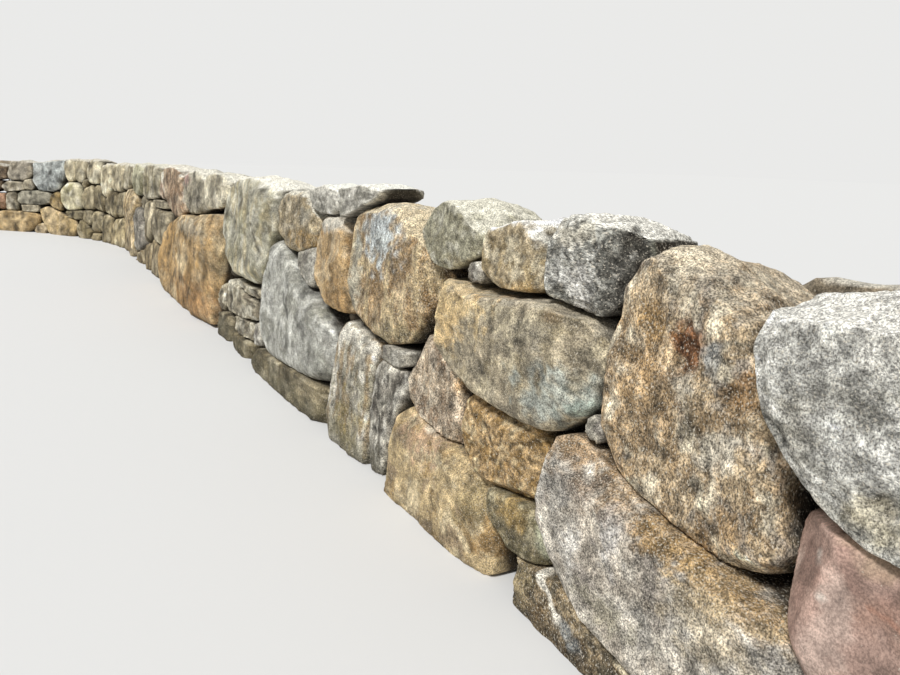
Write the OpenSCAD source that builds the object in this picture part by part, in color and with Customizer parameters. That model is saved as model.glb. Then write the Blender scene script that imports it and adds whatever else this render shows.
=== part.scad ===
// Dry stone wall of field boulders: a face of large fitted stones, backed by smaller courses.
// It has a straight run that leans back a little, then a bend towards the open side.
// Millimetres. Z up. The face looks along -Y, and the run goes from +X (near) to -X (far).
// The origin is the datum: the face line at station 0, on the underside of the foundation stone.

/* [Wall] */
// Length of the run along the face line, from the near end to the far end
run_len = 15420; // [12000:10:18000]
// Height of the face at its tallest boulder
wall_h = 1210; // [900:10:1500]
// Width of the wall at the ground, from the face line to its plumb back
base_w = 640; // [560:5:900]
// Depth of the facing boulders, from the face line to their tails
facing_depth = 420; // [300:5:480]
// Depth of the smaller blocks of the top course
coping_depth = 300; // [240:5:400]
// Depth of the thin slabs on top
slab_depth = 230; // [180:5:300]
// How far the face leans back for each unit of height
batter = 0.1; // [0:0.01:0.14]

/* [Bend] */
// Distance along the face line from the datum to the start of the bend
bend_start = 9700; // [7000:10:12000]
// Radius of the face line in the bend
bend_radius = 4600; // [3500:10:9000]

/* [Stones] */
// How far the middle of a plain boulder's face stands proud of the face line
crown = 45; // [20:1:70]
// Depth behind the face line at which a boulder is widest
belt_depth = 60; // [40:1:120]
// Depth to which a boulder keeps its full outline, so that it bears on its neighbours
bear_depth = 140; // [130:5:220]
// Share of a boulder's width that is left at its tail
tail_share = 0.76; // [0.7:0.01:0.95]
// Joint between two stones that bear on each other
bed_gap = 0.3; // [0.2:0.05:0.5]

/* [Backing] */
// Length of a backing stone
backing_len = 700; // [500:10:900]
// Height of the backing, which stays a little below the face
backing_h = 1060; // [800:10:1200]
// How far the backing stones bulge at the back
backing_bulge = 25; // [10:1:40]

/* [Hidden] */
// The stones were set out on a grid of these many steps in length and height
GRID_NEAR = -131;
GRID_FAR = 1411;
GRID_LOW = -3;
GRID_HIGH = 121;
step_s = run_len / (GRID_FAR - GRID_NEAR);
step_z = wall_h / GRID_HIGH;
// Each outline is grown by this much, so that neighbours meet and are then dressed to one plane
press = 1.8;
// Neighbours are looked for within this distance
reach = 5;
// Room that the backing leaves behind the tails in the bend
bend_ease = 4;
// How far the points of a face waver, as a share of how proud it stands
waver_share = 0.28;
// Where a corner is knocked off, this share of both its sides goes
knock_share = 0.22;
// The brow and the shoulder of a facing stone lie in front of the face line, each a
// [share of the outline, share of how proud the stone stands]
BROW = [0.84, 0.88];
SHOULDER = [0.965, 0.48];
// The rings whose points waver, counted from the front
WAVERING = 2;

// One row for each facing stone: its node, how proud its middle stands against crown, how far
// the whole face stands out, whether its corners are knocked off, and its outline as
// [station, height] in grid steps
FACING = [
  ["white_boulder", 1.0, 70, true,
    [[-33,103],[-45,111],[-90,114],[-120,104],[-130,84],[-112,66],[-70,64],[-52,74],[-38,87]]],
  ["mauve_boulder", 1.4, 40, true,
    [[-48,64],[-53,45],[-62,34],[-98,28],[-124,38],[-129,56],[-112,66],[-72,66],[-55,72]]],
  ["near_footing", 1.2, 0, true,
    [[-36,-3],[-34,9],[-57,18],[-64,32],[-97,28],[-122,35],[-131,16],[-129,-3]]],
  ["foundation_stone", 1.0, 30, true,
    [[52,-3],[52,13],[22,17],[3,13],[-15,9],[-34,9],[-36,-3]]],
  ["great_boulder", 1.3, 0, true,
    [[12,107],[6,113],[-3,113],[-13,109],[-25,102],[-31,92],[-38,84],[-43,76],[-43,64],[-49,53],
     [-39,47],[-22,46],[-7,51],[4,55],[14,62],[18,75],[15,85],[12,95]]],
  ["speckled_slab", 1.2, 50, true,
    [[35,54],[22,60],[5,56],[-5,50],[-30,46],[-50,46],[-62,35],[-58,20],[-34,11],[-15,10],
     [8,16],[22,24],[33,34]]],
  ["striped_block", 1.0, 0, true, [[49,117],[34,119],[16,116],[13,107],[20,92],[36,95],[49,94]]],
  ["buff_block", 0.7, 10, true, [[86,110],[68,114],[51,116],[50,95],[64,91],[78,90],[85,97]]],
  ["round_cope", 1.0, 0, true,
    [[134,106],[122,117],[103,119],[88,113],[85,104],[89,99],[103,94],[119,95],[128,99]]],
  ["long_ochre_boulder", 1.2, 30, true,
    [[119,80],[115,90],[105,94],[90,89],[68,89],[45,94],[22,92],[17,84],[19,75],[17,66],
     [29,57],[50,55],[80,56],[98,64],[112,68],[121,73]]],
  ["rose_boulder", 1.0, 0, true,
    [[133,47],[129,59],[115,68],[99,64],[88,57],[86,49],[84,40],[82,33],[94,33],[112,34],[126,39]]],
  ["pitted_boulder", 1.2, 0, true,
    [[87,47],[77,56],[59,56],[42,54],[36,50],[34,37],[43,31],[59,30],[76,32],[84,38]]],
  ["golden_base_boulder", 1.3, 20, true,
    [[143,10],[139,26],[128,35],[116,38],[94,32],[76,31],[66,29],[58,18],[52,13],[52,-3],
     [110,-3],[141,-3]]],
  ["green_lobe", 1.0, 20, false, [[64,29],[50,30],[36,32],[30,27],[23,19],[32,16],[46,16],[56,18]]],
  ["big_oval_boulder", 1.2, 0, true,
    [[207,88],[204,101],[193,111],[170,114],[150,111],[134,106],[122,98],[117,86],[121,75],
     [129,68],[138,58],[154,55],[170,55],[188,61],[201,73]]],
  ["pale_base_boulder", 1.2, 20, true,
    [[207,42],[206,50],[198,56],[188,58],[170,55],[160,52],[161,30],[158,8],[160,-3],[207,-3],[208,20]]],
  ["grey_base_boulder", 1.0, 0, true,
    [[160,49],[140,48],[131,48],[129,38],[137,31],[139,26],[143,12],[144,-3],[158,-3],[158,8],[161,30]]],
  ["buff_oval_boulder", 1.0, 0, true,
    [[251,80],[250,97],[240,103],[226,103],[214,100],[209,89],[204,74],[195,61],[214,59],
     [238,61],[248,70]]],
  ["pear_boulder", 1.3, 20, true,
    [[342,50],[330,68],[319,86],[309,82],[291,79],[270,65],[251,60],[225,56],[210,47],[208,24],
     [237,19],[264,17],[304,15],[323,17],[340,29]]],
  ["pink_block", 0.8, 0, true,
    [[320,90],[323,103],[315,111],[290,113],[266,111],[255,102],[252,87],[268,83],[290,80],[308,81]]],
  ["top_slabs", 0.8, 0, false, [[268,115],[262,106],[247,104],[232,104],[224,107],[226,116],[245,118]]],
  ["top_slabs", 1.0, 0, false,
    [[224,112],[218,104],[206,105],[190,111],[178,113],[171,115],[173,120],[190,121],[222,118]]],
  ["cracked_boulder", 1.3, 30, true,
    [[449,92],[443,106],[412,116],[362,119],[330,115],[322,104],[318,89],[330,69],[343,51],
     [378,48],[412,53],[434,63],[444,78]]],
  ["ledge_stones", 0.7, 0, false, [[412,50],[376,46],[345,48],[343,42],[370,41],[421,44]]],
  ["ledge_stones", 1.0, 0, false,
    [[436,34],[428,43],[400,43],[370,40],[344,40],[343,31],[350,27],[386,24],[420,22],[435,21]]],
  ["ledge_stones", 0.8, 0, false, [[459,21],[452,33],[440,38],[437,30],[438,22],[446,16]]],
  ["ledge_stones", 0.8, 0, false, [[406,21],[380,23],[353,24],[348,14],[386,11],[407,12]]],
  ["mossy_footings", 1.0, 0, false, [[456,-3],[457,14],[440,18],[410,17],[408,-3]]],
  ["mossy_footings", 1.2, 0, false, [[407,-3],[406,11],[386,11],[352,12],[350,-3]]],
  ["mossy_footings", 1.6, 0, true,
    [[349,-3],[347,11],[338,13],[322,16],[304,15],[264,17],[237,19],[214,21],[212,10],[214,-3]]],
  ["orange_boulder", 1.6, 40, true,
    [[440,67],[441,76],[452,84],[463,91],[486,88],[507,86],[530,81],[545,76],[563,77],[596,79],
     [622,71],[655,65],[683,56],[697,47],[708,36],[714,22],[712,-3],[459,-3],[460,20],[456,38],
     [450,56]]],
  ["pink_coping", 0.9, 0, true,
    [[530,99],[534,112],[520,116],[470,118],[449,112],[452,99],[459,94],[486,90],[508,88],[522,89]]],
  ["pink_coping", 1.0, 0, true,
    [[627,99],[625,110],[600,115],[560,118],[543,114],[532,100],[525,87],[542,80],[556,78],
     [575,79],[597,83],[612,88]]],
  ["brown_upright", 1.0, 0, false,
    [[737,113],[728,96],[704,83],[688,76],[655,70],[622,73],[603,78],[604,85],[618,91],[627,98],
     [629,111],[640,116],[700,119],[730,119]]],
  ["pin_stones", 0.6, 0, false, [[95,93],[94,99],[88,99],[84,96],[83,90],[90,89]]],
  ["pin_stones", 0.4, 0, false, [[21,60],[20,66],[15,66],[11,60],[15,58]]],
  ["pin_stones", 0.8, 0, false, [[157,55],[148,57],[136,56],[132,51],[140,48],[156,49]]],
  ["pin_stones", 0.6, 0, false, [[285,79],[268,82],[253,86],[250,74],[251,61],[262,63],[272,67]]],
  ["pin_stones", 0.8, 0, false, [[352,24],[344,27],[337,22],[338,13],[348,13]]],

  ["middle_footings", 1.0, 0, false, [[716,-3],[718,20],[722,32],[745,33],[775,38],[781,20],[783,-3]]],
  ["middle_footings", 1.0, 0, false, [[786,-3],[784,18],[790,30],[806,28],[828,24],[831,10],[831,-3]]],
  ["middle_footings", 1.0, 0, false, [[834,-3],[834,16],[842,19],[866,11],[888,9],[903,11],[909,-3]]],
  ["middle_footings", 0.6, 0, false,
    [[961,-3],[970,14],[984,26],[1000,40],[1011,36],[1013,12],[1012,-3]]],
  ["middle_boulders", 1.2, 0, false,
    [[800,52],[797,62],[785,68],[755,70],[722,71],[694,72],[692,62],[700,52],[708,42],[718,35],
     [745,36],[775,41],[795,46]]],
  ["middle_boulders", 1.0, 0, false,
    [[848,60],[846,72],[825,76],[803,74],[800,62],[803,48],[808,34],[828,27],[838,40],[846,50]]],
  ["middle_boulders", 0.8, 0, false,
    [[796,73],[790,79],[770,80],[730,81],[705,79],[692,75],[730,73],[770,72]]],
  ["middle_boulders", 0.5, 0, false, [[886,68],[880,77],[862,78],[851,74],[850,62],[868,63]]],
  ["purple_boulder", 1.5, 10, true,
    [[914,60],[924,48],[918,35],[905,18],[890,11],[868,13],[835,22],[842,38],[850,52],[870,60],[893,64]]],
  ["tan_boulder", 1.6, 10, true,
    [[1008,60],[1007,72],[998,80],[970,83],[945,78],[926,74],[896,70],[896,66],[915,62],[926,48],
     [916,30],[906,12],[912,-3],[958,-3],[968,16],[984,30],[1000,44]]],
  ["middle_coping", 1.0, 0, false,
    [[748,86],[747,114],[740,117],[731,100],[708,85],[726,83]]],
  ["middle_coping", 1.0, 0, false,
    [[879,98],[877,112],[850,117],[790,118],[755,116],[750,100],[750,86],[770,82],[800,80],
     [840,77],[870,80]]],
  ["middle_coping", 1.2, 0, false,
    [[965,98],[962,110],[930,116],[890,115],[881,104],[882,88],[895,78],[925,77],[945,81],[962,88]]],
  ["middle_coping", 1.0, 0, false,
    [[1030,96],[1028,111],[1000,114],[978,113],[968,104],[968,92],[980,84],[1008,82],[1026,78]]],

  ["bend_footings", 1.0, 0, false, [[1047,-3],[1047,24],[1042,36],[1026,40],[1016,34],[1014,10],[1016,-3]]],
  ["bend_footings", 1.0, 0, false, [[1072,-3],[1071,22],[1064,34],[1053,36],[1049,20],[1050,-3]]],
  ["bend_footings", 1.0, 0, false,
    [[1111,-3],[1111,24],[1106,38],[1094,39],[1078,35],[1074,14],[1075,-3]]],
  ["bend_footings", 1.0, 0, false, [[1142,-3],[1142,10],[1128,9],[1114,11],[1113,-3]]],
  ["bend_footings", 1.3, 0, false,
    [[1186,-3],[1184,14],[1180,22],[1172,26],[1164,22],[1154,16],[1146,12],[1144,-3]]],
  ["bend_stones", 1.0, 0, false,
    [[1058,48],[1058,64],[1052,72],[1034,73],[1014,76],[1011,60],[1014,44],[1046,40]]],
  ["bend_stones", 1.0, 0, false,
    [[1102,43],[1101,58],[1090,66],[1083,72],[1068,72],[1060,66],[1060,48],[1068,38],[1090,41]]],
  ["bend_stones", 1.0, 0, false,
    [[1139,66],[1138,74],[1130,79],[1119,76],[1108,64],[1104,54],[1108,43],[1123,44],[1138,47]]],
  ["bend_stones", 1.0, 0, false,
    [[1172,58],[1169,69],[1161,75],[1146,79],[1141,68],[1141,54],[1142,44],[1165,43],[1172,48]]],
  ["bend_stones", 0.8, 0, false, [[1170,28],[1170,40],[1160,42],[1146,42],[1145,30],[1150,20],[1163,24]]],
  ["bend_stones", 0.8, 0, false, [[1143,14],[1142,40],[1130,42],[1116,41],[1113,26],[1115,13],[1132,11]]],
  ["bend_stones", 0.7, 0, false, [[1173,78],[1170,85],[1163,87],[1161,81],[1164,76],[1170,74]]],
  ["bend_stones", 0.6, 0, false,
    [[1176,27],[1173,38],[1182,41],[1194,38],[1209,38],[1222,38],[1218,31],[1200,27],[1186,26]]],
  ["bend_coping", 1.0, 0, false,
    [[1080,98],[1078,110],[1060,114],[1036,113],[1032,98],[1032,84],[1038,76],[1060,75],[1078,75]]],
  ["bend_coping", 1.0, 0, false,
    [[1119,90],[1118,108],[1100,112],[1085,110],[1083,90],[1086,74],[1094,66],[1104,64],[1110,72],
     [1116,80]]],
  ["bend_coping", 1.0, 0, false,
    [[1162,98],[1161,108],[1156,114],[1146,117],[1124,116],[1121,102],[1121,90],[1129,82],
     [1145,81],[1157,84],[1162,90]]],
  ["bend_coping", 0.8, 0, false,
    [[1194,98],[1192,110],[1187,115],[1174,116],[1166,113],[1165,100],[1165,90],[1174,80],
     [1186,82],[1193,88]]],
  ["bend_coping", 0.8, 0, false,
    [[1219,101],[1218,113],[1207,116],[1196,114],[1196,98],[1195,84],[1208,81],[1216,86]]],
  ["round_pale_boulder", 1.4, 0, false,
    [[1227,62],[1224,71],[1214,78],[1202,81],[1187,80],[1178,75],[1175,62],[1176,50],[1181,43],
     [1191,40],[1209,40],[1219,46],[1226,54]]],

  ["far_footings", 1.0, 0, false,
    [[1274,37],[1261,41],[1249,41],[1236,37],[1219,30],[1201,26],[1188,25],[1188,14],[1190,-3],
     [1252,-3],[1261,10],[1270,22]]],
  ["far_footings", 1.2, 0, false,
    [[1376,-3],[1378,16],[1366,28],[1345,31],[1311,31],[1282,30],[1273,25],[1277,16],[1287,8],
     [1296,-3]]],
  ["far_footings", 0.8, 0, false, [[1294,-3],[1286,6],[1276,14],[1268,15],[1260,8],[1254,-3]]],
  ["far_footings", 1.0, 0, false, [[1379,-3],[1380,20],[1372,31],[1398,37],[1410,28],[1411,-3]]],
  ["far_stones", 1.0, 0, false,
    [[1251,58],[1238,64],[1229,63],[1228,52],[1222,43],[1229,38],[1242,42],[1252,47]]],
  ["far_stones", 1.0, 0, false,
    [[1322,47],[1321,58],[1313,63],[1282,64],[1261,63],[1253,60],[1254,48],[1267,44],[1290,44],
     [1318,43]]],
  ["far_stones", 0.7, 0, false, [[1316,32],[1314,41],[1296,42],[1277,43],[1275,33],[1300,32]]],
  ["far_stones", 0.8, 0, false, [[1343,44],[1342,58],[1325,61],[1324,46],[1319,36],[1322,33],[1341,33]]],
  ["far_stones", 0.8, 0, false,
    [[1310,76],[1305,80],[1296,82],[1292,78],[1291,70],[1293,66],[1303,66],[1307,68]]],
  ["far_stones", 0.8, 0, false, [[1350,73],[1339,77],[1311,77],[1308,70],[1308,65],[1344,61],[1350,66]]],
  ["far_stones", 1.0, 0, false,
    [[1345,42],[1345,58],[1370,57],[1400,58],[1408,47],[1400,39],[1370,34],[1344,34]]],
  ["far_stones", 0.8, 0, false, [[1353,66],[1352,77],[1388,78],[1402,74],[1406,64],[1388,60],[1370,60]]],
  ["far_coping", 1.2, 0, false,
    [[1289,88],[1288,108],[1260,111],[1222,115],[1221,95],[1227,80],[1234,70],[1249,66],[1267,66],
     [1280,67],[1290,80]]],
  ["far_coping", 1.0, 0, false,
    [[1339,80],[1339,100],[1331,109],[1311,111],[1293,108],[1291,90],[1297,84],[1309,80]]],
  ["far_coping", 0.8, 0, false,
    [[1342,82],[1342,100],[1352,105],[1380,105],[1398,100],[1401,88],[1390,80],[1362,79]]],
];

// A number from 0 to 1 that is always the same for the same i
function wob(i) = let (v = 439.7 * sin(i * 77.13)) v - floor(v);
function outline_of(row) = row[4];
function lowest(v, k) = min([for (p = v) p[k]]);
function highest(v, k) = max([for (p = v) p[k]]);

// Centre of an outline, by its area
function cross2(a, b) = a[0] * b[1] - a[1] * b[0];
function area2(v) = [for (i = [0:len(v) - 1]) cross2(v[i], v[(i + 1) % len(v)])] * [for (p = v) 1];
function centre(v) =
  let (w = [for (i = [0:len(v) - 1]) cross2(v[i], v[(i + 1) % len(v)])],
       m = [for (i = [0:len(v) - 1]) v[i] + v[(i + 1) % len(v)]])
  w * m / (3 * area2(v));
// Every outline runs the same way round
function turned(v) = area2(v) > 0 ? v : [for (i = [len(v) - 1:-1:0]) v[i]];

// Knocks off each corner
function knocked(v) =
  [for (i = [0:len(v) - 1], e = [-1, 1])
     let (next = v[(i + e + len(v)) % len(v)]) v[i] + knock_share * (next - v[i])];
function grown(v, c) = [for (p = v) p + press * (p - c) / norm(p - c)];

// Where a station, a depth behind the face line and a height lie in the wall's own frame
function place(s, d, z) =
  let (run = s * step_s,
       h = z * step_z,
       turn = max(0, run - bend_start) / bend_radius * 180 / PI,
       out = bend_radius + batter * h + d)
  [-min(run, bend_start) - out * sin(turn), out * cos(turn) - bend_radius, h];
function along(s) =
  let (turn = max(0, s * step_s - bend_start) / bend_radius * 180 / PI) [-cos(turn), -sin(turn), 0];

// The straight line that parts two outlines best, as [direction, place along it]
function side_dirs(v) =
  [for (i = [0:len(v) - 1])
     let (e = v[(i + 1) % len(v)] - v[i]) [e[1], -e[0]] / norm(e)];
function parting(a, b) =
  let (ca = centre(a),
       cb = centre(b),
       dirs = concat(side_dirs(a), -side_dirs(b), [(cb - ca) / norm(cb - ca)]),
       gaps = [for (n = dirs) min([for (p = b) p * n]) - max([for (p = a) p * n])],
       best = max(gaps),
       n = [for (i = [0:len(dirs) - 1]) if (gaps[i] == best) dirs[i]][0])
  [n, (min([for (p = b) p * n]) + max([for (p = a) p * n])) / 2];

// The same parting as a plane in space that holds the direction into the wall
function plane(a, b) =
  let (line = parting(a, b),
       n = line[0],
       m = (centre(a) + centre(b)) / 2,
       on = m + (line[1] - m * n) * n,
       scaled = [n[0] / step_s, n[1] / step_z],
       unit = scaled / norm(scaled),
       dir = unit[0] * along(on[0]) + [0, 0, unit[1]])
  [dir, dir * place(on[0], facing_depth / 2, on[1]) - bed_gap / 2];
GROUND = [[0, 0, -1], 0];

function close_by(a, b) =
  lowest(a, 0) < highest(b, 0) + reach && lowest(b, 0) < highest(a, 0) + reach &&
  lowest(a, 1) < highest(b, 1) + reach && lowest(b, 1) < highest(a, 1) + reach;
function planes(i, outlines) =
  concat([GROUND],
         [for (j = [0:len(outlines) - 1])
            if (j != i && close_by(outlines[i], outlines[j])) plane(outlines[i], outlines[j])]);

// Pulls a point towards the stone's own axis until it is inside every plane
function dressed(p, axis, cuts, k = 0) =
  k == len(cuts) ? p :
  let (over = cuts[k][0] * p - cuts[k][1],
       room = cuts[k][1] - cuts[k][0] * axis,
       q = over > 0 ? axis + (p - axis) * room / (room + over) : p)
  dressed(q, axis, cuts, k + 1);

// A closed stone through rings of [share of the outline, depth]; waver unsettles the face
module stone(outline, rings, front, back, cuts, seed, waver) {
  c = centre(outline);
  n = len(outline);
  points = concat(
    [place(c[0], front, c[1])],
    [for (r = [0:len(rings) - 1], i = [0:n - 1])
       let (share = rings[r][0],
            d = rings[r][1] + (r < WAVERING ? waver * (wob(seed + i + 13 * r) - 0.5) : 0),
            p = c + share * (outline[i] - c))
       dressed(place(p[0], d, p[1]), place(c[0], d, c[1]), cuts)],
    [place(c[0], back, c[1])]);
  last = len(points) - 1;
  polyhedron(points, concat(
    [for (i = [0:n - 1]) [0, 1 + (i + 1) % n, 1 + i]],
    [for (r = [0:len(rings) - 2], i = [0:n - 1], half = [0, 1])
       let (a = 1 + r * n + i,
            b = 1 + r * n + (i + 1) % n)
       half == 0 ? [a, b, b + n] : [a, b + n, a + n]],
    [for (i = [0:n - 1]) [last, last - n + i, last - n + (i + 1) % n]]), convexity = 4);
}

FACE_OUTLINES = [for (row = FACING) grown(turned(outline_of(row)), centre(outline_of(row)))];

module facing_stone(i, depth) {
  proud = crown * FACING[i][1];
  out = FACING[i][2];
  v = FACE_OUTLINES[i];
  rings = [[BROW[0], -BROW[1] * proud - out], [SHOULDER[0], -SHOULDER[1] * proud - out],
           [1, belt_depth - out], [1, bear_depth], [tail_share, depth]];
  stone(FACING[i][3] ? knocked(v) : v, rings, -proud - out, depth,
        planes(i, FACE_OUTLINES), 31 * i, waver_share * proud);
}

module facing(name, depth = facing_depth) {
  for (i = [0:len(FACING) - 1]) if (FACING[i][0] == name) facing_stone(i, depth);
}

// The backing is laid in three courses, each broken over the joints of the one below
COURSE_SHARES = [0, 0.39, 0.74, 1];
LENGTHS = round(run_len / backing_len);
cell_len = (GRID_FAR - GRID_NEAR) / LENGTHS;
// How far joints stray, as a share of a cell's length, and how far beds stray, in grid steps
joint_stray = 0.26;
bed_stray = 7;
// The outline of a backing stone, as shares of the length and height of its cell
CELL = [[0,0.3],[0,0.75],[0.16,1],[0.8,1],[1,0.7],[1,0.25],[0.86,0],[0.18,0]];
function joint_at(course, k) =
  k <= 0 ? GRID_NEAR : k >= LENGTHS ? GRID_FAR :
  GRID_NEAR + cell_len * (k + (course == 1 ? 0.5 : 0) + joint_stray * (wob(7 * k + course) - 0.5));
function bed_at(course, k) =
  backing_h / step_z * COURSE_SHARES[course] +
  (course == 0 ? GRID_LOW : bed_stray * (wob(5 * k + 3 * course) - 0.5));
function cell(course, k) =
  let (a = joint_at(course, k),
       b = joint_at(course, k + 1),
       low = bed_at(course, k),
       high = bed_at(course + 1, k))
  [for (p = CELL) [a + p[0] * (b - a), low + p[1] * (high - low)]];
function courses_of(k) = [for (course = [0:2]) if (course != 1 || k < LENGTHS - 1) course];
BACKING = [for (k = [0:LENGTHS - 1], course = courses_of(k)) [k, cell(course, k)]];
BACK_OUTLINES = [for (row = BACKING) let (v = turned(row[1])) grown(v, centre(v))];
// Shares of its outline that a backing stone keeps at its front and at its back
BACK_FRONT = 0.94;
BACK_REAR = 0.9;

module backing_stone(i) {
  v = BACK_OUTLINES[i];
  ease = highest(v, 0) * step_s > bend_start ? bend_ease : bed_gap;
  high = centre(v)[1] * step_z;
  back = base_w - batter * high;
  rings = [[BACK_FRONT, facing_depth + ease], [1, (facing_depth + back) / 2],
           [BACK_REAR, back - backing_bulge]];
  stone(v, rings, facing_depth + ease, back, planes(i, BACK_OUTLINES), 17 * i, 0);
}

SECTIONS = 5;
module backing(section) {
  for (i = [0:len(BACKING) - 1])
    if (floor(BACKING[i][0] * SECTIONS / LENGTHS) == section) backing_stone(i);
}

module foundation_stone() { color("#8b7a64") facing("foundation_stone"); }
module near_footing() { color("#85796a") facing("near_footing"); }
module white_boulder() { color("#c9c7c0") facing("white_boulder"); }
module mauve_boulder() { color("#96797a") facing("mauve_boulder"); }
module great_boulder() { color("#a38a6c") facing("great_boulder"); }
module speckled_slab() { color("#a49a8e") facing("speckled_slab"); }
module striped_block() { color("#8f8d88") facing("striped_block", coping_depth); }
module buff_block() { color("#b09a78") facing("buff_block", coping_depth); }
module round_cope() { color("#98998a") facing("round_cope", coping_depth); }
module long_ochre_boulder() { color("#b39a6b") facing("long_ochre_boulder"); }
module rose_boulder() { color("#9a8068") facing("rose_boulder"); }
module pitted_boulder() { color("#a6844e") facing("pitted_boulder"); }
module golden_base_boulder() { color("#b39560") facing("golden_base_boulder"); }
module green_lobe() { color("#8c8a76") facing("green_lobe"); }
module big_oval_boulder() { color("#a58a66") facing("big_oval_boulder"); }
module pale_base_boulder() { color("#aaa28f") facing("pale_base_boulder"); }
module grey_base_boulder() { color("#97938a") facing("grey_base_boulder"); }
module buff_oval_boulder() { color("#b0905f") facing("buff_oval_boulder"); }
module pear_boulder() { color("#a9a8a4") facing("pear_boulder"); }
module pink_block() { color("#ad9a83") facing("pink_block", coping_depth); }
module top_slabs() { color("#aeaaa0") facing("top_slabs", slab_depth); }
module cracked_boulder() { color("#b3ab9a") facing("cracked_boulder"); }
module ledge_stones() { color("#94897a") facing("ledge_stones"); }
module mossy_footings() { color("#817a5e") facing("mossy_footings"); }
module orange_boulder() { color("#c0995c") facing("orange_boulder"); }
module pink_coping() { color("#b5a294") facing("pink_coping", coping_depth); }
module brown_upright() { color("#a07e66") facing("brown_upright"); }
module pin_stones() { color("#8f8577") facing("pin_stones"); }
module middle_footings() { color("#9a8664") facing("middle_footings"); }
module middle_boulders() { color("#a29a8c") facing("middle_boulders"); }
module purple_boulder() { color("#928a90") facing("purple_boulder"); }
module tan_boulder() { color("#ae9874") facing("tan_boulder"); }
module middle_coping() { color("#a8a08f") facing("middle_coping", coping_depth); }
module bend_footings() { color("#94886a") facing("bend_footings"); }
module bend_stones() { color("#a2967c") facing("bend_stones"); }
module bend_coping() { color("#ada28a") facing("bend_coping", coping_depth); }
module round_pale_boulder() { color("#bdb59c") facing("round_pale_boulder"); }
module far_footings() { color("#b39a66") facing("far_footings"); }
module far_stones() { color("#98907f") facing("far_stones"); }
module far_coping() { color("#94989a") facing("far_coping", coping_depth); }
module backing_1() { color("#8a8070") backing(0); }
module backing_2() { color("#8f8676") backing(1); }
module backing_3() { color("#867d6e") backing(2); }
module backing_4() { color("#8d8472") backing(3); }
module backing_5() { color("#888072") backing(4); }

foundation_stone();
near_footing();
white_boulder();
mauve_boulder();
great_boulder();
speckled_slab();
striped_block();
buff_block();
round_cope();
long_ochre_boulder();
rose_boulder();
pitted_boulder();
golden_base_boulder();
green_lobe();
big_oval_boulder();
pale_base_boulder();
grey_base_boulder();
buff_oval_boulder();
pear_boulder();
pink_block();
top_slabs();
cracked_boulder();
ledge_stones();
mossy_footings();
orange_boulder();
pink_coping();
brown_upright();
pin_stones();
middle_footings();
middle_boulders();
purple_boulder();
tan_boulder();
middle_coping();
bend_footings();
bend_stones();
bend_coping();
round_pale_boulder();
far_footings();
far_stones();
far_coping();
backing_1();
backing_2();
backing_3();
backing_4();
backing_5();
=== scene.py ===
# %% [markdown]
# A dry stone wall of field boulders, dressed around its construction model.
# Everything is in metres, in the model's own frame: X runs along the straight part of the
# wall, Y goes into it and Z is up. The face looks towards negative Y.
# Each boulder of the model is a plain solid. Here each one becomes a weathered stone that fills
# the same space, so every stone still bears on the same neighbours.

# %% Load the frame
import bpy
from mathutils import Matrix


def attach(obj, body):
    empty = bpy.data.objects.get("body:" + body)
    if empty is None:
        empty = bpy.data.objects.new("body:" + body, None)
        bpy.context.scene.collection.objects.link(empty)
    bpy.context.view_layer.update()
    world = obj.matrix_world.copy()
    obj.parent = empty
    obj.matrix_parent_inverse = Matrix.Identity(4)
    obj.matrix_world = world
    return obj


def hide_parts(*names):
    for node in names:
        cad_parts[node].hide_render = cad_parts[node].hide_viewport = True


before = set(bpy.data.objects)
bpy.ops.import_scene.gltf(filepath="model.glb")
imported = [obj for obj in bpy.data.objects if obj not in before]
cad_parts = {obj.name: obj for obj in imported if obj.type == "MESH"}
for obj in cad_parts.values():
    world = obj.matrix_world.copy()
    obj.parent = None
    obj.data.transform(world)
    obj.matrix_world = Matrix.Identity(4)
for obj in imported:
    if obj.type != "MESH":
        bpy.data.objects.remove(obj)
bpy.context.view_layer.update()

import math
from functools import partial
import bpy
import numpy as np
from mathutils import Matrix, Vector
from mathutils.bvhtree import BVHTree

print("nodes:", len(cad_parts))

# %% [markdown]
# The camera stands on the open side, near one end, and looks along the wall at eye height.
# A camera's own axes are right, up and backwards, so its matrix is made of those three.

# %% Camera
EYE = Vector((1.428, -1.290, 1.330))
HEADING = math.radians(29.0)     # between the line of sight and the wall's run
PITCH = math.radians(12.8)       # how far the camera looks down
ROLL = math.radians(-1.8)
FOCAL_PIXELS = 786               # for an image 900 pixels wide
IMAGE_WIDTH = 900
SENSOR = 36.0

level = Vector((-math.cos(HEADING), math.sin(HEADING), 0))
across = Vector((math.sin(HEADING), math.cos(HEADING), 0))
sight = level * math.cos(PITCH) - Vector((0, 0, math.sin(PITCH)))
down = sight.cross(across)
right = across * math.cos(ROLL) + down * math.sin(ROLL)
up = -(down * math.cos(ROLL) - across * math.sin(ROLL))


def in_scene(name, data):
    """A new object with this data, put into the scene at the origin."""
    made = bpy.data.objects.new(name, data)
    bpy.context.scene.collection.objects.link(made)
    return made


lens = bpy.data.cameras.new("camera")
lens.sensor_width = SENSOR
lens.sensor_fit = "HORIZONTAL"
lens.lens = FOCAL_PIXELS / IMAGE_WIDTH * SENSOR
camera = in_scene("camera", lens)
camera.matrix_world = Matrix((
    (right.x, up.x, -sight.x, EYE.x),
    (right.y, up.y, -sight.y, EYE.y),
    (right.z, up.z, -sight.z, EYE.z),
    (0, 0, 0, 1)))
bpy.context.scene.camera = camera
print("camera lens:", round(lens.lens, 2))

# %% [markdown]
# A mason finds a place on a wall by its station, the distance along the face, and its height.
# The wall here is straight for 9.7 m and then bends on a circle, so a station past that point
# is an arc's length.

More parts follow.
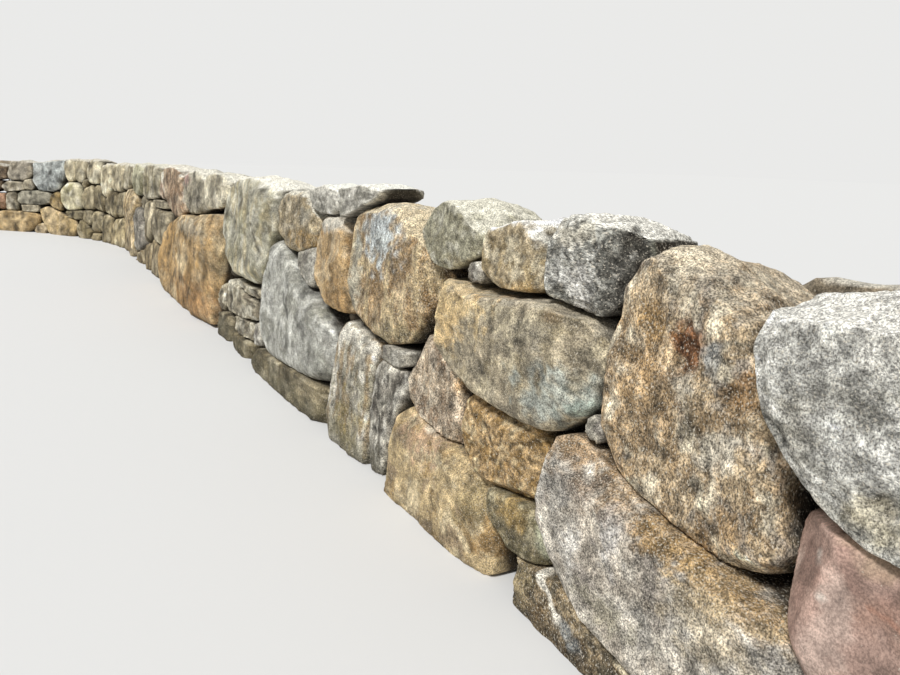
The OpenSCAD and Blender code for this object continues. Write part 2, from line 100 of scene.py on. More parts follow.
# %% The wall's line
BEND_START = 9.7
BEND_RADIUS = 4.6
LEAN = 0.1                       # how far the face leans back for each metre of height
WALL_MIDDLE = 6.4                # the station halfway along the wall
WALL_END = (7.4, 7.6)            # from there on, measured from the middle, a side faces the air
BACKING_DEPTH = 0.38             # stones whose middle lies deeper have their face to the back


def station(p):
    """Distance along the face line: minus x on the straight run, and past the start of the
    bend the bend's start plus the radius times the angle turned about the bend's centre."""
    turned = np.arctan2(-BEND_START - p[:, 0], p[:, 1] + BEND_RADIUS)
    return np.where(p[:, 0] > -BEND_START, -p[:, 0], BEND_START + BEND_RADIUS * turned)


def depth(p):
    """Distance behind the leaning face: y on the straight run, and in the bend the distance
    from the bend's centre less the radius, both less the lean at that height."""
    x = np.minimum(p[:, 0] + BEND_START, 0)
    return np.hypot(x, p[:, 1] + BEND_RADIUS) - BEND_RADIUS - LEAN * p[:, 2]


def inward(middle):
    """Unit direction into the wall at a place: away from the bend's centre, or straight
    along y before the bend."""
    v = np.array([min(middle[0] + BEND_START, 0), middle[1] + BEND_RADIUS, 0])
    return v / np.linalg.norm(v)


print("bend: from station", BEND_START, "with a radius of", BEND_RADIUS)

# %% [markdown]
# Weathered stone is rough at every scale at once. Noise gives that: each corner of a cubic
# lattice gets a random slope, and a point between corners blends the slopes around it.
# Layers of it at half the size and half the strength add up to a rough surface.

# %% Noise
def scramble(cell, seed):
    """A random whole number for each lattice cell: the three indices times large odd numbers,
    then shifted onto themselves and multiplied again so that no pattern is left."""
    c = cell.astype(np.int64)
    h = c[..., 0] * 374761393 + c[..., 1] * 668265263 + c[..., 2] * 1440662683 + seed * 974634777
    h = (h ^ (h >> 13)) * 1274126177 & 0xFFFFFFFF
    h = (h ^ (h >> 16)) * 2246822519 & 0xFFFFFFFF
    return h ^ (h >> 15)


def noise(p, size, seed):
    """Smooth noise between about -1 and 1: at each of the eight lattice corners a random
    slope times the offset from that corner, blended by 6t^5 - 15t^4 + 10t^3 on each axis, and
    the whole times 1.5 to fill that range."""
    q = p / size
    cell = np.floor(q)
    t = q - cell
    w = t * t * t * (t * (t * 6 - 15) + 10)
    total = np.zeros(len(p))
    for corner in np.ndindex(2, 2, 2):
        h = scramble(cell + corner, seed)
        slope = np.stack([h & 1023, (h >> 10) & 1023, (h >> 20) & 1023], 1) / 511.5 - 1
        share = np.prod(np.where(corner, w, 1 - w), axis=1)
        total += share * np.sum(slope * (t - corner), axis=1)
    return total * 1.5


def layers(p, size, seed, count=3, fade=0.5, cell=0.0):
    """A sum of noises, each half the size of the last and weaker by the factor fade. A noise
    finer than 1.7 cells of the grid that it is for is left out, as the grid can't carry it."""
    kept = [k for k in range(count) if k == 0 or size / 2 ** k > 1.7 * cell]
    return sum(fade ** k * noise(p, size / 2 ** k, seed + k) for k in kept)


print("noise at three places:", noise(np.eye(3), 0.3, 1).round(2))

# %% [markdown]
# Scoops need another kind of field. The distance to the nearest of many random points is
# smooth near a point and has a sharp ridge halfway between two, as scoops in broken rock do.
# The other helpers move points about, so that a regular pattern wanders, and step softly.

# %% Scoops and soft steps
def nearest(p, size, seed):
    """Distance to the nearest random point, in units of size: one point lies in each lattice
    cell, and the 27 cells around each place are searched."""
    q = p / size
    cell = np.floor(q)
    best = np.full(len(p), 9.0)
    for step in np.ndindex(3, 3, 3):
        c = cell + np.array(step) - 1
        h = scramble(c, seed)
        spot = c + np.stack([h & 1023, (h >> 10) & 1023, (h >> 20) & 1023], 1) / 1023
        best = np.minimum(best, np.sum((spot - q) ** 2, axis=1))
    return np.sqrt(best)


def warped(p, size, seed, reach):
    """The points plus reach times three noises, so that what is worked out from them wanders."""
    return p + reach * np.stack([noise(p, size, seed + k) for k in range(3)], 1)


def ease(x, low, high):
    """0 below low, 1 above high, and 3t^2 - 2t^3 between."""
    t = np.clip((x - low) / (high - low), 0, 1)
    return t * t * (3 - 2 * t)


print("distance to the nearest point, in cells:", nearest(np.eye(3), 0.3, 1).round(2))

# %% [markdown]
# One node of the model may hold several stones. Stones never touch, so corners that share a
# triangle belong to one stone, and giving each corner the lowest number among its neighbours,
# again and again, leaves one number for each stone.

# %% Stones of the model
PER_METRE = 1e5                  # corners are told apart to a hundredth of a millimetre


def stones_of(node):
    """The triangles of each stone of a node, as arrays of three corners, near ones first."""
    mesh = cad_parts[node].data
    mesh.calc_loop_triangles()
    corners = np.empty(len(mesh.vertices) * 3, np.float32)
    mesh.vertices.foreach_get("co", corners)
    triangles = np.empty(len(mesh.loop_triangles) * 3, np.int32)
    mesh.loop_triangles.foreach_get("vertices", triangles)
    keys = np.round(corners.reshape(-1, 3).astype(float) * PER_METRE).astype(np.int64)
    unique, which = np.unique(keys, axis=0, return_inverse=True)
    triangles = which.ravel()[triangles].reshape(-1, 3)
    label = np.arange(len(unique))
    while True:
        lower = label.copy()
        np.minimum.at(lower, triangles.ravel(), np.repeat(label[triangles].min(axis=1), 3))
        if np.array_equal(lower, label):
            break
        label = lower
    owner = label[triangles[:, 0]]
    solids = [unique[triangles[owner == k]] / PER_METRE for k in np.unique(owner)]
    return sorted(solids, key=lambda t: -t[:, :, 0].mean())


STONES = {node: stones_of(node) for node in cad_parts}
print("stones:", sum(map(len, STONES.values())))

# %% [markdown]
# A stone starts as a grid. A ray goes out from its middle in each direction of a grid that
# wraps the stone like the lines of a globe, with one pole in the middle of the face. Where the
# rays meet the solid gives a grid of radii.

# %% Rays
FIRST_RING = 0.012               # the first ring's angle from the front pole, in radians
SIDE_ANGLE = 1.95                # the rings are even up to this angle
GROWTH = 1.125                   # each step past it is this much longer than the last
LAST_RING = math.pi - 0.02
LAST_STEP = 0.03                 # the least step from the ring before it to the last one


def unit(v):
    """A vector, or each of many, divided by its length."""
    return v / np.linalg.norm(v, axis=-1, keepdims=True)


def lengths_to(triangles, rays):
    """Distance from the origin to the outside along each ray. A ray is written as a sum of a
    triangle's three corners, and it meets the triangle where no share is negative, at one
    over the sum of the shares."""
    usable = np.abs(np.linalg.det(triangles)) > 1e-9
    reach = np.zeros(len(rays))
    for inverse in np.linalg.inv(triangles[usable]):
        shares = rays @ inverse
        total = shares.sum(axis=1)
        meets = (shares.min(axis=1) > -1e-6) & (total > 1e-9)
        reach = np.maximum(reach, np.where(meets, 1 / np.maximum(total, 1e-9), 0))
    return reach


def even_angles(a, b, count):
    """Angles around an ellipse with half widths a and b whose points are evenly spaced."""
    fine = np.linspace(0, 2 * math.pi, 8 * 360 + 1)
    pace = np.hypot(a * np.sin(fine), b * np.cos(fine))
    run = np.concatenate([[0], np.cumsum((pace[1:] + pace[:-1]) / 2)])
    return np.interp(np.arange(count) / count * run[-1], run, fine)


def ring_angles(front):
    """Angles of the rings from the front pole: even over the face, the edges and the first of
    the sides, and from there on each step is an eighth longer than the last."""
    step = SIDE_ANGLE / front
    rings = [FIRST_RING]
    while rings[-1] < LAST_RING - LAST_STEP - step:
        rings.append(rings[-1] + step)
        if rings[-1] > SIDE_ANGLE:
            step *= GROWTH
    return np.array(rings + [LAST_RING])


print("rings when 40 of them cover the front:", len(ring_angles(40)))

# %% [markdown]
# Years of weather and water wear edges round. Smoothing the grid of radii does the same, and a
# soft minimum of the worn and the first radius keeps the stone inside its solid.

# %% Wear
def wear(radii, rings, run, girth, worn):
    """Blurs a grid of radii over the distance worn. Round each ring, each wave is scaled by
    exp(-(wave number x worn / ring's radius)^2 / 2). Across the rings, each is averaged with
    its neighbours by the same bell curve, on past the poles to the far side."""
    waves = np.fft.rfft(radii, axis=1)
    number = np.arange(waves.shape[1])
    size = np.maximum(girth * np.sin(rings), 1e-4)[:, None]
    radii = np.fft.irfft(waves * np.exp(-0.5 * (number * worn / size) ** 2), radii.shape[1], axis=1)
    half = radii.shape[1] // 2
    far = np.roll(radii, half, axis=1)[::-1]
    stacked = np.concatenate([far, radii, far])
    place = np.concatenate([-run[::-1], run, 2 * run[-1] - run[::-1]])
    width = np.abs(np.gradient(place))
    bell = np.exp(-0.5 * ((run[:, None] - place[None]) / worn) ** 2) * width
    return bell @ stacked / bell.sum(axis=1)[:, None]


def soften(first, second, sharp):
    """A soft minimum of two radii: the sum of both to the power -sharp, to the power -1/sharp."""
    return (first ** -sharp + second ** -sharp) ** (-1 / sharp)


print("soft minimum of 1 and 1:", round(soften(1, 1, 160), 4))

# %% [markdown]
# Field boulders broke along flat planes before they were worn. Each break is a plane that cuts
# a little off the form: along a ray, the plane is met at its distance over the cosine of the
# angle between them, and a soft minimum of that and the radius leaves a flat with soft edges.
# Directions are written as (far, inward, up), as seen from the stone itself. The breaks all
# face outwards, so that the beds and the joints stay closed.

# %% Breaks
SNUG = 200                       # how sharply the worn form gives way to the solid
ON_GROUND = 0.004                # a stone that reaches lower than this stands on the ground
SUNK = 0.04                      # how far its foot goes on down before it is cut level
NOWHERE = 50                     # the reach of a ray that doesn't meet a break


def surface(triangles, cell, seed, worn=0.010, breaks=9, bite=0.055, cuts=(), sharp=160):
    """A stone's points, with rings from the front pole to the back pole as rows and the way
    round as columns. Worn is the distance that edges are blurred over. A break lies at the
    outermost point along its direction times a share, which is 1 less a part of bite for the
    random ones and given for each cut."""
    random = np.random.default_rng(seed)
    corners = triangles.reshape(-1, 3)
    middle = (corners.min(axis=0) + corners.max(axis=0)) / 2
    into = inward(middle) * (1 if depth(middle[None])[0] < BACKING_DEPTH else -1)
    axes = np.array([[-into[1], into[0], 0], into, [0, 0, 1]])
    local = (triangles - middle) @ axes.T
    buried = corners[:, 2].min() < ON_GROUND
    if buried:
        local[:, :, 2] -= (local[:, :, 2] + middle[2] < ON_GROUND) * SUNK
    half = np.abs(local).reshape(-1, 3).max(axis=0)
    face = (half[0] + half[2]) / 2
    count = max(24, int(2 * math.pi * face / cell / 4) * 4)
    rings = ring_angles(max(9, int((face + 0.6 * half[1]) / cell)))
    run = np.concatenate([[0], np.cumsum(np.diff(rings))]) * (face + half[1]) / 2 + FIRST_RING * face
    ring, angle = np.meshgrid(rings, even_angles(half[0], half[2], count), indexing="ij")
    rays = np.stack([np.sin(ring) * np.cos(angle), -np.cos(ring), np.sin(ring) * np.sin(angle)], -1)
    cast = lengths_to(local / half, rays.reshape(-1, 3)).reshape(ring.shape)
    radii = soften(wear(cast, rings, run, face, worn), cast, SNUG)
    rays = rays * half
    towards = random.normal(size=(breaks, 3)) * (1, 0.6, 1)
    towards[:, 1] = -0.45 - np.abs(towards[:, 1])
    planes = [(unit(v), 1 - bite * random.uniform(0.2, 1)) for v in towards]
    planes += [(unit(np.array(v, float)), share) for v, share in cuts]
    for normal, share in planes:
        reach = np.max((rays * radii[..., None]) @ normal) * share
        facing = rays @ normal
        met = np.where(facing > 1e-6, reach / np.maximum(facing, 1e-6), NOWHERE)
        radii = soften(radii, np.minimum(met, NOWHERE), sharp)
    return rays * radii[..., None], axes, middle, buried


def outward(points):
    """The outward direction at each grid point: the cross product of the way round the ring
    and the way from ring to ring."""
    around = np.roll(points, -1, axis=1) - np.roll(points, 1, axis=1)
    normal = unit(np.cross(around, np.gradient(points, axis=0)) + 1e-12)
    return normal if np.sum(normal * (points - points.mean(axis=(0, 1)))) > 0 else -normal


rough_out = surface(STONES["white_boulder"][0], cell=0.05, seed=1)[0]
print("a coarse white boulder: rings and points round:", rough_out.shape[:2])

# %% [markdown]
# Relief is what frost and water took from the worn form. It is only ever taken away, so that
# the stone stays inside its solid. Each part of it adds its own number to the stone's seed, so
# that no two noises are alike.

# %% Relief
def relief(p, cell, seed, grain=0.004, lumps=0.010, size=0.12, scoops=0.006, scoop_size=0.11,
           pits=0, pit_size=0.02, ledges=0, lie=(0.25, 0, 1), dents=()):
    """How deep the surface lies below the worn form, in metres: a sum of parts. Broad lumps and
    fine grain are layered noise. Scoops are 1 less the square of the distance to the nearest
    random point, and pits the same with a steep rim. Ledges are a noise that is long along the
    lie of the rock and short across it, and dents sit at a station and a height."""
    mixed = partial(layers, cell=cell)
    deep = lumps * np.clip(0.5 + 0.6 * mixed(p, size, seed, 2), 0, 1)
    deep = deep + grain * np.clip(0.5 + 0.6 * mixed(p, 0.04, seed + 20, 3, 0.65), 0, 1.3)
    if scoops:
        q = warped(p, 0.08, seed + 30, 0.03)
        deep = deep + scoops * (1 - np.minimum(nearest(q, scoop_size, seed + 33) * 1.3, 1) ** 2)
    if pits:
        deep = deep + pits * (1 - ease(nearest(p, pit_size, seed + 40), 0.15, 0.5))
    if ledges:
        way = unit(np.array(lie, float))
        q = p * 0.25 + np.outer(p @ way, way) * 1.5
        deep = deep + ledges * np.clip(0.5 + 0.7 * mixed(q, 0.05, seed + 60, 3), 0, 1)
    for along, high, wide, tall, by in dents:
        away = np.hypot((station(p) - along) / wide, (p[:, 2] - high) / tall)
        away = away + 0.3 * mixed(p, 0.05, seed + 70, 2)
        deep = deep + by * (1 - ease(away, 0.6, 1.1)) * (depth(p) < 0.06)
    return deep


print("relief at the datum:", relief(np.zeros((1, 3)), 0.01, 1).round(4))

# %% [markdown]
# The colour of a stone lives on its points as an attribute, so that it follows the surface.
# Colours are written as a painter's codes are and mixed as light, in shares of one another.

# %% Colours
def tint(code):
    """A linear colour from a written one such as a08c70: each part as a share of 255, plus
    0.055, over 1.055, to the power 2.4, and the darkest parts over 12.92 instead."""
    value = np.array([int(code[k:k + 2], 16) for k in (0, 2, 4)]) / 255
    return np.where(value > 0.04045, ((value + 0.055) / 1.055) ** 2.4, value / 12.92)


def lay(colour, over, mask):
    """Lays one colour over others: each moves towards it by its share in the mask."""
    return colour + mask[:, None] * (tint(over) - colour)


print("bleached stone as a linear colour:", tint("d2ccbd").round(3))

# %% [markdown]
# A coat is laid on in the order in which a stone gets it. Tones mix by layered noise. Crests
# are paler and hollows darker: partly scoured crests and dirt in the hollows, partly a painted
# highlight on crests and painted shade in hollows. The top is bleached and painted paler as if
# sunlit. The foot is dark with soil, the joints are dark with soil and painted shade, and
# patches sit at a station and a height, as they were seen on the wall.

# %% Coat
# A dark tone for soil on the foot and in the joints, where it also stands for painted shade.
SOIL_AND_SHADE = "2a241c"
MOSS = "66624a"
MOTTLE_GAIN = 2.3                # how far mottling goes for a strength of 1
SHADES = (0.22, 1.9)             # the darkest and the palest that it may make a tone
# The crest gain paints crests paler and hollows darker: a painted highlight and painted shade.
CREST_PAINTED_LIGHT_GAIN = 1.3                 # how much paler a crest is, per cell's width that it stands up
CREST_SPAN = (-0.55, 0.45)       # the hollows and crests that count


def coat(p, cell, normal, crest, air, seed, tones, spread=0.1, bleach="d2ccbd", top=0.75,
         foot=0.35, moss=0.0, mottle=(0.03, 0.3), patches=(), lines=(), bands=None,
         streaks=None, level=0.86):
    """The colour of each point. The first tone is the ground, and each further tone covers
    it where its own noise is high. Bands and streaks are noises drawn out along a direction. A
    row of patches is a station, a height, half its width, half its height, tone and strength,
    and a row of lines is two places, a width, tone and strength.
    The whole is then made darker by level, a factor, and mottled. Soil lies on the foot, and soil
    and painted shade darken the joints, where the air doesn't reach."""
    s, h = station(p), p[:, 2]
    mixed = partial(layers, cell=cell)
    ground, *others = tones.split()
    colour = np.tile(tint(ground), (len(p), 1))
    for k, tone in enumerate(others):
        drift = mixed(p, spread * (1 - 0.15 * k), seed + 100 + 7 * k, 4, 0.65)
        colour = lay(colour, tone, ease(drift, -0.05 + 0.1 * k, 0.3 + 0.1 * k))
    if bands:
        way, size, tone, strength = bands
        way = unit(np.array(way, float))
        q = warped(p, 0.15, seed + 145, 0.03)
        q = q * 0.15 + np.outer(q @ way, way) * 2
        colour = lay(colour, tone, strength * ease(mixed(q, size, seed + 150, 3, 0.7), -0.05, 0.3))
    if streaks:
        size, tone, strength = streaks
        q = p * np.array([1, 1, 0.2])
        colour = lay(colour, tone, strength * ease(mixed(q, size, seed + 155, 3, 0.7), 0.0, 0.4))
    for along, high, wide, tall, tone, strength in patches:
        warp = 0.8 * mixed(p, 0.06, seed + 160, 4, 0.75)
        away = np.hypot((s - along) / wide, (h - high) / tall) + warp
        colour = lay(colour, tone, strength * (1 - ease(away, 0.4, 1.3)))
    shade = 1 + MOTTLE_GAIN * mottle[1] * mixed(p, mottle[0], seed + 180, 3, 0.75)
    # Crests are painted paler and hollows darker here: a painted highlight and painted shade over the
    # mottle.
    shade = np.clip(shade, *SHADES) * (1 + CREST_PAINTED_LIGHT_GAIN * np.clip(crest, *CREST_SPAN))
    colour = colour * level * shade[:, None]
    for start, end, width, tone, strength in lines:
        run = np.array(end) - np.array(start)
        q = np.stack([s, h], 1) - np.array(start) + 0.025 * np.stack(
            [noise(p, 0.06, seed + 170), noise(p, 0.06, seed + 171)], 1)
        t = np.clip(q @ run / (run @ run), 0, 1)
        away = np.linalg.norm(q - t[:, None] * run, axis=1)
        colour = lay(colour, tone, strength * (1 - ease(away, 0.4 * width, width)))
    # The top is bleached and also painted paler as if sunlit: partly weathering, partly a painted
    # highlight.
    up_facing = ease(normal[:, 2] + 0.3 * mixed(p, 0.05, seed + 190, 3), 0.45, 0.85)
    thin = 1 - 0.35 * ease(mixed(p, 0.05, seed + 195, 4, 0.8), 0.0, 0.5)
    colour = lay(colour, bleach, top * thin * up_facing * ease(h, 0.75, 1.05))
    if moss:
        low = 1 - ease(h + 0.06 * mixed(p, 0.06, seed + 200, 3), 0.02, 0.2)
        colour = lay(colour, MOSS, moss * low)
    near_ground = 1 - ease(h + 0.03 * mixed(p, 0.04, seed + 210, 2), 0.0, 0.08)
    colour = lay(colour, SOIL_AND_SHADE, foot * near_ground)
    # The joints behind the face, out of the air, take the dark tone: partly soil, partly painted shade
    # between the stones.
    buried = ease(depth(p) + 0.03 * mixed(p, 0.04, seed + 220, 2), -0.015, 0.06) * (1 - air)
    colour = lay(colour, SOIL_AND_SHADE, 0.92 * buried)
    return np.clip(colour, 0.002, 0.85)


print("soil as a linear colour:", tint(SOIL_AND_SHADE).round(3))

# %% [markdown]
# A finished stone is one closed skin: a point at each pole, a fan of triangles around it, and
# squares between the rings.

# %% Skins
def skin(rings, count):
    """Faces between the rings of a closed skin whose first point is the front pole and whose
    last is the back pole."""
    k = np.arange(count)
    ahead = (k + 1) % count
    row = 1 + count * np.arange(rings - 1)[:, None]
    squares = np.stack([row + k, row + ahead, row + ahead + count, row + k + count], -1).reshape(-1, 4)
    last = 1 + rings * count
    cap = np.stack([np.zeros(count, int), ahead + 1, k + 1], 1)
    end = np.stack([np.full(count, last), last - count + k, last - count + ahead], 1)
    return squares, np.concatenate([cap, end])


def turned_out(points, squares, fans, middle):
    """The faces, turned round if the first of the fan looks towards the middle: the cross
    product of two of its edges then runs against the way out."""
    a, b, c = points[fans[0]]
    if np.dot(np.cross(b - a, c - a), a - middle) < 0:
        return squares[:, ::-1], fans[:, ::-1]
    return squares, fans


print("faces on a skin of 3 rings of 6:", [len(faces) for faces in skin(3, 6)])

# %% [markdown]
# Carving puts the steps together. Weather reaches the two faces, the top and the ends of the
# wall, so relief is full there and hardly any in the joints, which stay closed.

# %% Carving
JOINT_RELIEF = 0.05              # the share of the relief that is left in a joint


def crests(grid, normal, cell, k=2):
    """How far each point stands above the mean of the four points that are k steps away, per
    width of those steps: above 0 on edges and below 0 in hollows."""
    rows = np.arange(len(grid))
    before, after = np.maximum(rows - k, 0), np.minimum(rows + k, len(grid) - 1)
    mean = (np.roll(grid, k, axis=1) + np.roll(grid, -k, axis=1) + grid[before] + grid[after]) / 4
    return np.sum((grid - mean) * normal, axis=-1) / (cell * k)


def open_share(grid, normal, into):
    """How open each point is to the weather: 1 on the two faces, the top and the two ends of
    the wall, where stones face the air, and 0 in the joints."""
    faces = ease(np.abs(normal @ into), 0.2, 0.75)
    top = ease(normal[..., 2], 0.4, 0.8) * ease(grid[..., 2], 0.75, 1.0)
    along = np.abs(station(grid.reshape(-1, 3)) - WALL_MIDDLE)
    ends = ease(along, *WALL_END).reshape(top.shape)
    return np.maximum(np.maximum(faces, top), ends)


def carve(triangles, cell, seed, form, finish, colours):
    """One dressed stone: the worn form, less its relief along the outward direction, with its
    buried foot cut level with the ground."""
    grid, axes, middle, buried = surface(triangles, cell, seed, **form)
    grid = grid @ axes + middle
    shape = grid.shape
    normal = outward(grid)
    deep = relief(grid.reshape(-1, 3), cell, seed, **finish).reshape(shape[:2])
    open_here = open_share(grid, normal, axes[1])
    grid = grid - normal * (deep * (JOINT_RELIEF + (1 - JOINT_RELIEF) * open_here))[..., None]
    normal = outward(grid)
    air = np.concatenate([[1], open_share(grid, normal, axes[1]).ravel(), [1]])
    crest = np.concatenate([[0], crests(grid, normal, cell).ravel(), [0]])
    p, n = grid.reshape(-1, 3), normal.reshape(-1, 3)
    first, last = slice(0, shape[1]), slice(-shape[1], None)
    p = np.concatenate([p[first].mean(axis=0)[None], p, p[last].mean(axis=0)[None]])
    n = np.concatenate([n[:1], n, n[-1:]])
    if buried:
        p[:, 2] = np.maximum(p[:, 2], 0)
    squares, fans = turned_out(p, *skin(*shape[:2]), middle)
    return p, squares, fans, coat(p, cell, n, crest, air, seed, **colours)


print("open share of a face that looks straight out:",
      open_share(np.zeros((1, 1, 3)), np.array([[[0.0, -1, 0]]]), np.array([0, 1, 0])).item())

# %% [markdown]
# The stones of one node are joined into one mesh, which stands for the node. Arrays go into the
# mesh as they are: the points, the corners of all faces in one row, and where each face starts.

# %% Pieces
FINISHES = {}
COUNTS = {}


def piece(node, slot, stones, new=False):
    """Joins dressed stones into one mesh, which stands for a node of the model unless it is
    new."""
    points, faces, sizes, colours = [], [], [], []
    start = 0
    for p, squares, fans, colour in stones:
        points.append(p)
        colours.append(colour)
        faces += [(squares + start).ravel(), (fans + start).ravel()]
        sizes += [np.full(len(squares), 4), np.full(len(fans), 3)]
        start += len(p)
    points, faces = np.concatenate(points), np.concatenate(faces)
    sizes, colours = np.concatenate(sizes), np.concatenate(colours)
    mesh = bpy.data.meshes.new(node + "_rock")
    mesh.vertices.add(len(points))
    mesh.loops.add(len(faces))
    mesh.polygons.add(len(sizes))
    mesh.vertices.foreach_set("co", points.astype(np.float32).ravel())
    mesh.loops.foreach_set("vertex_index", faces.astype(np.int32))
    mesh.polygons.foreach_set("loop_start", (np.cumsum(sizes) - sizes).astype(np.int32))
    mesh.polygons.foreach_set("use_smooth", np.ones(len(sizes), bool))
    tone = mesh.attributes.new("tone", "FLOAT_COLOR", "POINT")
    rgba = np.concatenate([colours, np.ones((len(colours), 1))], 1)
    tone.data.foreach_set("color", rgba.astype(np.float32).ravel())
    mesh.update(calc_edges=True)
    mesh.validate()
    mesh.materials.append(FINISHES[slot])
    rock = in_scene(node + "_rock", mesh)
    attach(rock, "root")
    if not new:
        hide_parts(node)
    COUNTS[node] = int(np.sum(sizes - 2))
    print(node, "stones:", len(stones), "triangles:", COUNTS[node], "so far:", sum(COUNTS.values()))


print("pieces to make:", len(STONES))

# %% [markdown]
# A node is dressed by carving its stones and joining them. Its recipe has three parts: the
# colours, the form with its breaks, and the finish of the surface.

# %% Dressing
LEVELS = (0.62, 1.0)             # how dark and how light a node's further stones may be


def dress(node, slot, colours, form=None, finish=None, cell=0.007, each=()):
    """Dresses every stone of a node. Rows of each are (station, height) and the colours that
    the stone nearest to that place has instead. Stones after the first are lighter or darker
    at random, so that neighbours stand apart. A stone's seed comes from the node's letters and
    the stone's number."""
    done = []
    for k, triangles in enumerate(STONES[node]):
        flat = triangles.reshape(-1, 3)
        own = dict(colours)
        if each:
            here = np.array([station(flat).mean(), flat[:, 2].mean()])
            gaps = [np.linalg.norm(here - np.array(at)) for at, _ in each]
            own.update(each[int(np.argmin(gaps))][1])
        seed = sum(map(ord, node)) * 13 + 101 * k
        if k:
            own["level"] = np.random.default_rng(seed).uniform(*LEVELS)
        done.append(carve(triangles, cell, seed, form or {}, finish or {}, own))
    piece(node, slot, done)


print("lightest and darkest further stones:", LEVELS[1], LEVELS[0])

# %% [markdown]
# Rock finishes. The tone comes from the points. The shader adds what is finer than the mesh:
# mottling, mineral grains a few millimetres across, and the bump of a broken surface.

# %% Rock finish
PALE_GRAIN = "dfd6c4"
DARK_GRAIN = "28231d"


def finish_for(slot, grain=0.005, contrast=0.5, light=0.3, dark=0.3, bump=0.8, rough=0.9,
               stretch=(1, 1, 1), turn=(0, 0, 0)):
    """A rock material. Grain is the size of its mineral grains in metres and contrast how much
    they differ. Light and dark are the shares of pale and dark grains. Stretch and turn draw
    the grains out along the bands of the rock."""
    material = bpy.data.materials.new(slot)
    material.use_nodes = True
    tree = material.node_tree
    join = tree.links.new
    shader = tree.nodes["Principled BSDF"]
    shader.inputs["Roughness"].default_value = rough
    shader.inputs["Specular IOR Level"].default_value = 0.25

    def node(kind, **values):
        """A new shader node, with each value set on its socket or its property."""
        made = tree.nodes.new(kind)
        for key, value in values.items():
            if key in made.inputs:
                made.inputs[key].default_value = value
            else:
                setattr(made, key, value)
        return made

    def texture(size, detail, roughness, offset):
        """Noise of a size in metres, moved by an offset so that no two are alike."""
        place = node("ShaderNodeMapping", Location=(offset, offset * 2, 0), Rotation=turn, Scale=stretch)
        join(spot.outputs["Object"], place.inputs["Vector"])
        made = node("ShaderNodeTexNoise", Scale=1 / size, Detail=detail, Roughness=roughness)
        join(place.outputs["Vector"], made.inputs["Vector"])
        return made.outputs["Fac"]

    def ramp(source, low, high, start, end):
        """Goes from start to end in a straight line while the source goes from low to high."""
        made = node("ShaderNodeMapRange")
        for key, value in zip(("From Min", "From Max", "To Min", "To Max"), (low, high, start, end)):
            made.inputs[key].default_value = value
        join(source, made.inputs["Value"])
        return made.outputs["Result"]

    def scaled(source, factor):
        """A colour times a factor."""
        made = node("ShaderNodeVectorMath", operation="SCALE")
        join(source, made.inputs[0])
        join(factor, made.inputs["Scale"])
        return made.outputs["Vector"]

    def covered(source, share, size, offset, colour):
        """Grains of one colour over the source, where a noise is above 0.67 less a quarter of
        their share, and at most 0.7 of the colour."""
        low = 0.67 - 0.25 * share
        mask = ramp(texture(size, 3, 0.65, offset), low, low + 0.09, 0, 0.7)
        made = node("ShaderNodeMix", data_type="RGBA")
        join(mask, made.inputs["Factor"])
        join(source, made.inputs[6])
        made.inputs[7].default_value = (*tint(colour), 1)
        return made.outputs[2]

    spot = node("ShaderNodeTexCoord")
    tone = node("ShaderNodeAttribute", attribute_name="tone").outputs["Color"]
    coarse = texture(grain * 4, 5.0, 0.7, 0)
    fine = texture(grain, 2.5, 0.7, 3)
    tone = scaled(tone, ramp(coarse, 0.36, 0.64, 1 - 0.8 * contrast, 1 + 0.8 * contrast))
    tone = scaled(tone, ramp(fine, 0.40, 0.60, 1 - contrast, 1 + contrast))
    tone = covered(tone, light, grain * 1.1, 7, PALE_GRAIN)
    tone = covered(tone, dark, grain * 0.9, 11, DARK_GRAIN)
    join(tone, shader.inputs["Base Color"])
    raised = node("ShaderNodeBump", Strength=bump, Distance=0.008)
    join(coarse, raised.inputs["Height"])
    picked = node("ShaderNodeBump", Strength=bump, Distance=0.003)
    join(fine, picked.inputs["Height"])
    join(raised.outputs["Normal"], picked.inputs["Normal"])
    join(picked.outputs["Normal"], shader.inputs["Normal"])
    FINISHES[slot] = material


print("grains:", PALE_GRAIN, DARK_GRAIN)

# %% [markdown]
# Ten finishes, one for each kind of rock. Gneiss has its grains drawn out along its bands,
# granite has strong ones, and quartzite is smooth, with hardly any grain or bump.

# %% Finishes
finish_for("brown_gneiss", contrast=0.62, light=0.4, dark=0.4, stretch=(1, 1, 0.75))
finish_for("grey_granite", dark=0.4)
finish_for("white_rock", contrast=0.48, light=0.4, dark=0.45, bump=1.0)
finish_for("mauve_rock", contrast=0.25, light=0.0, dark=0.1, bump=0.3, rough=0.7)
finish_for("speckled_granite", contrast=0.58, light=0.45, dark=0.45)
finish_for("striped_gneiss", contrast=0.55, light=0.4, dark=0.4, stretch=(0.4, 1, 1), turn=(0, 0.7, 0))
finish_for("ochre_rock", contrast=0.45, dark=0.35)
finish_for("green_grey_rock", contrast=0.45, dark=0.35)
finish_for("pale_rock", contrast=0.4)
finish_for("backing_rubble", contrast=0.4, light=0.2)
print("finishes:", len(FINISHES))

# %% [markdown]
# The largest near boulders are closest to the eye, so they have the finest grids. Given
# planes give each its main shape, and patches are set at listed places. The white
# boulder is rough and crystalline with a sloping top. The mauve one is smooth quartzite with a
# crease, so it has few breaks and a long wear. The footing below them is plain.

# %% White and mauve boulders
dress("near_footing", "grey_granite", dict(tones="8f887a 736c5f a29c8e"), cell=0.016)

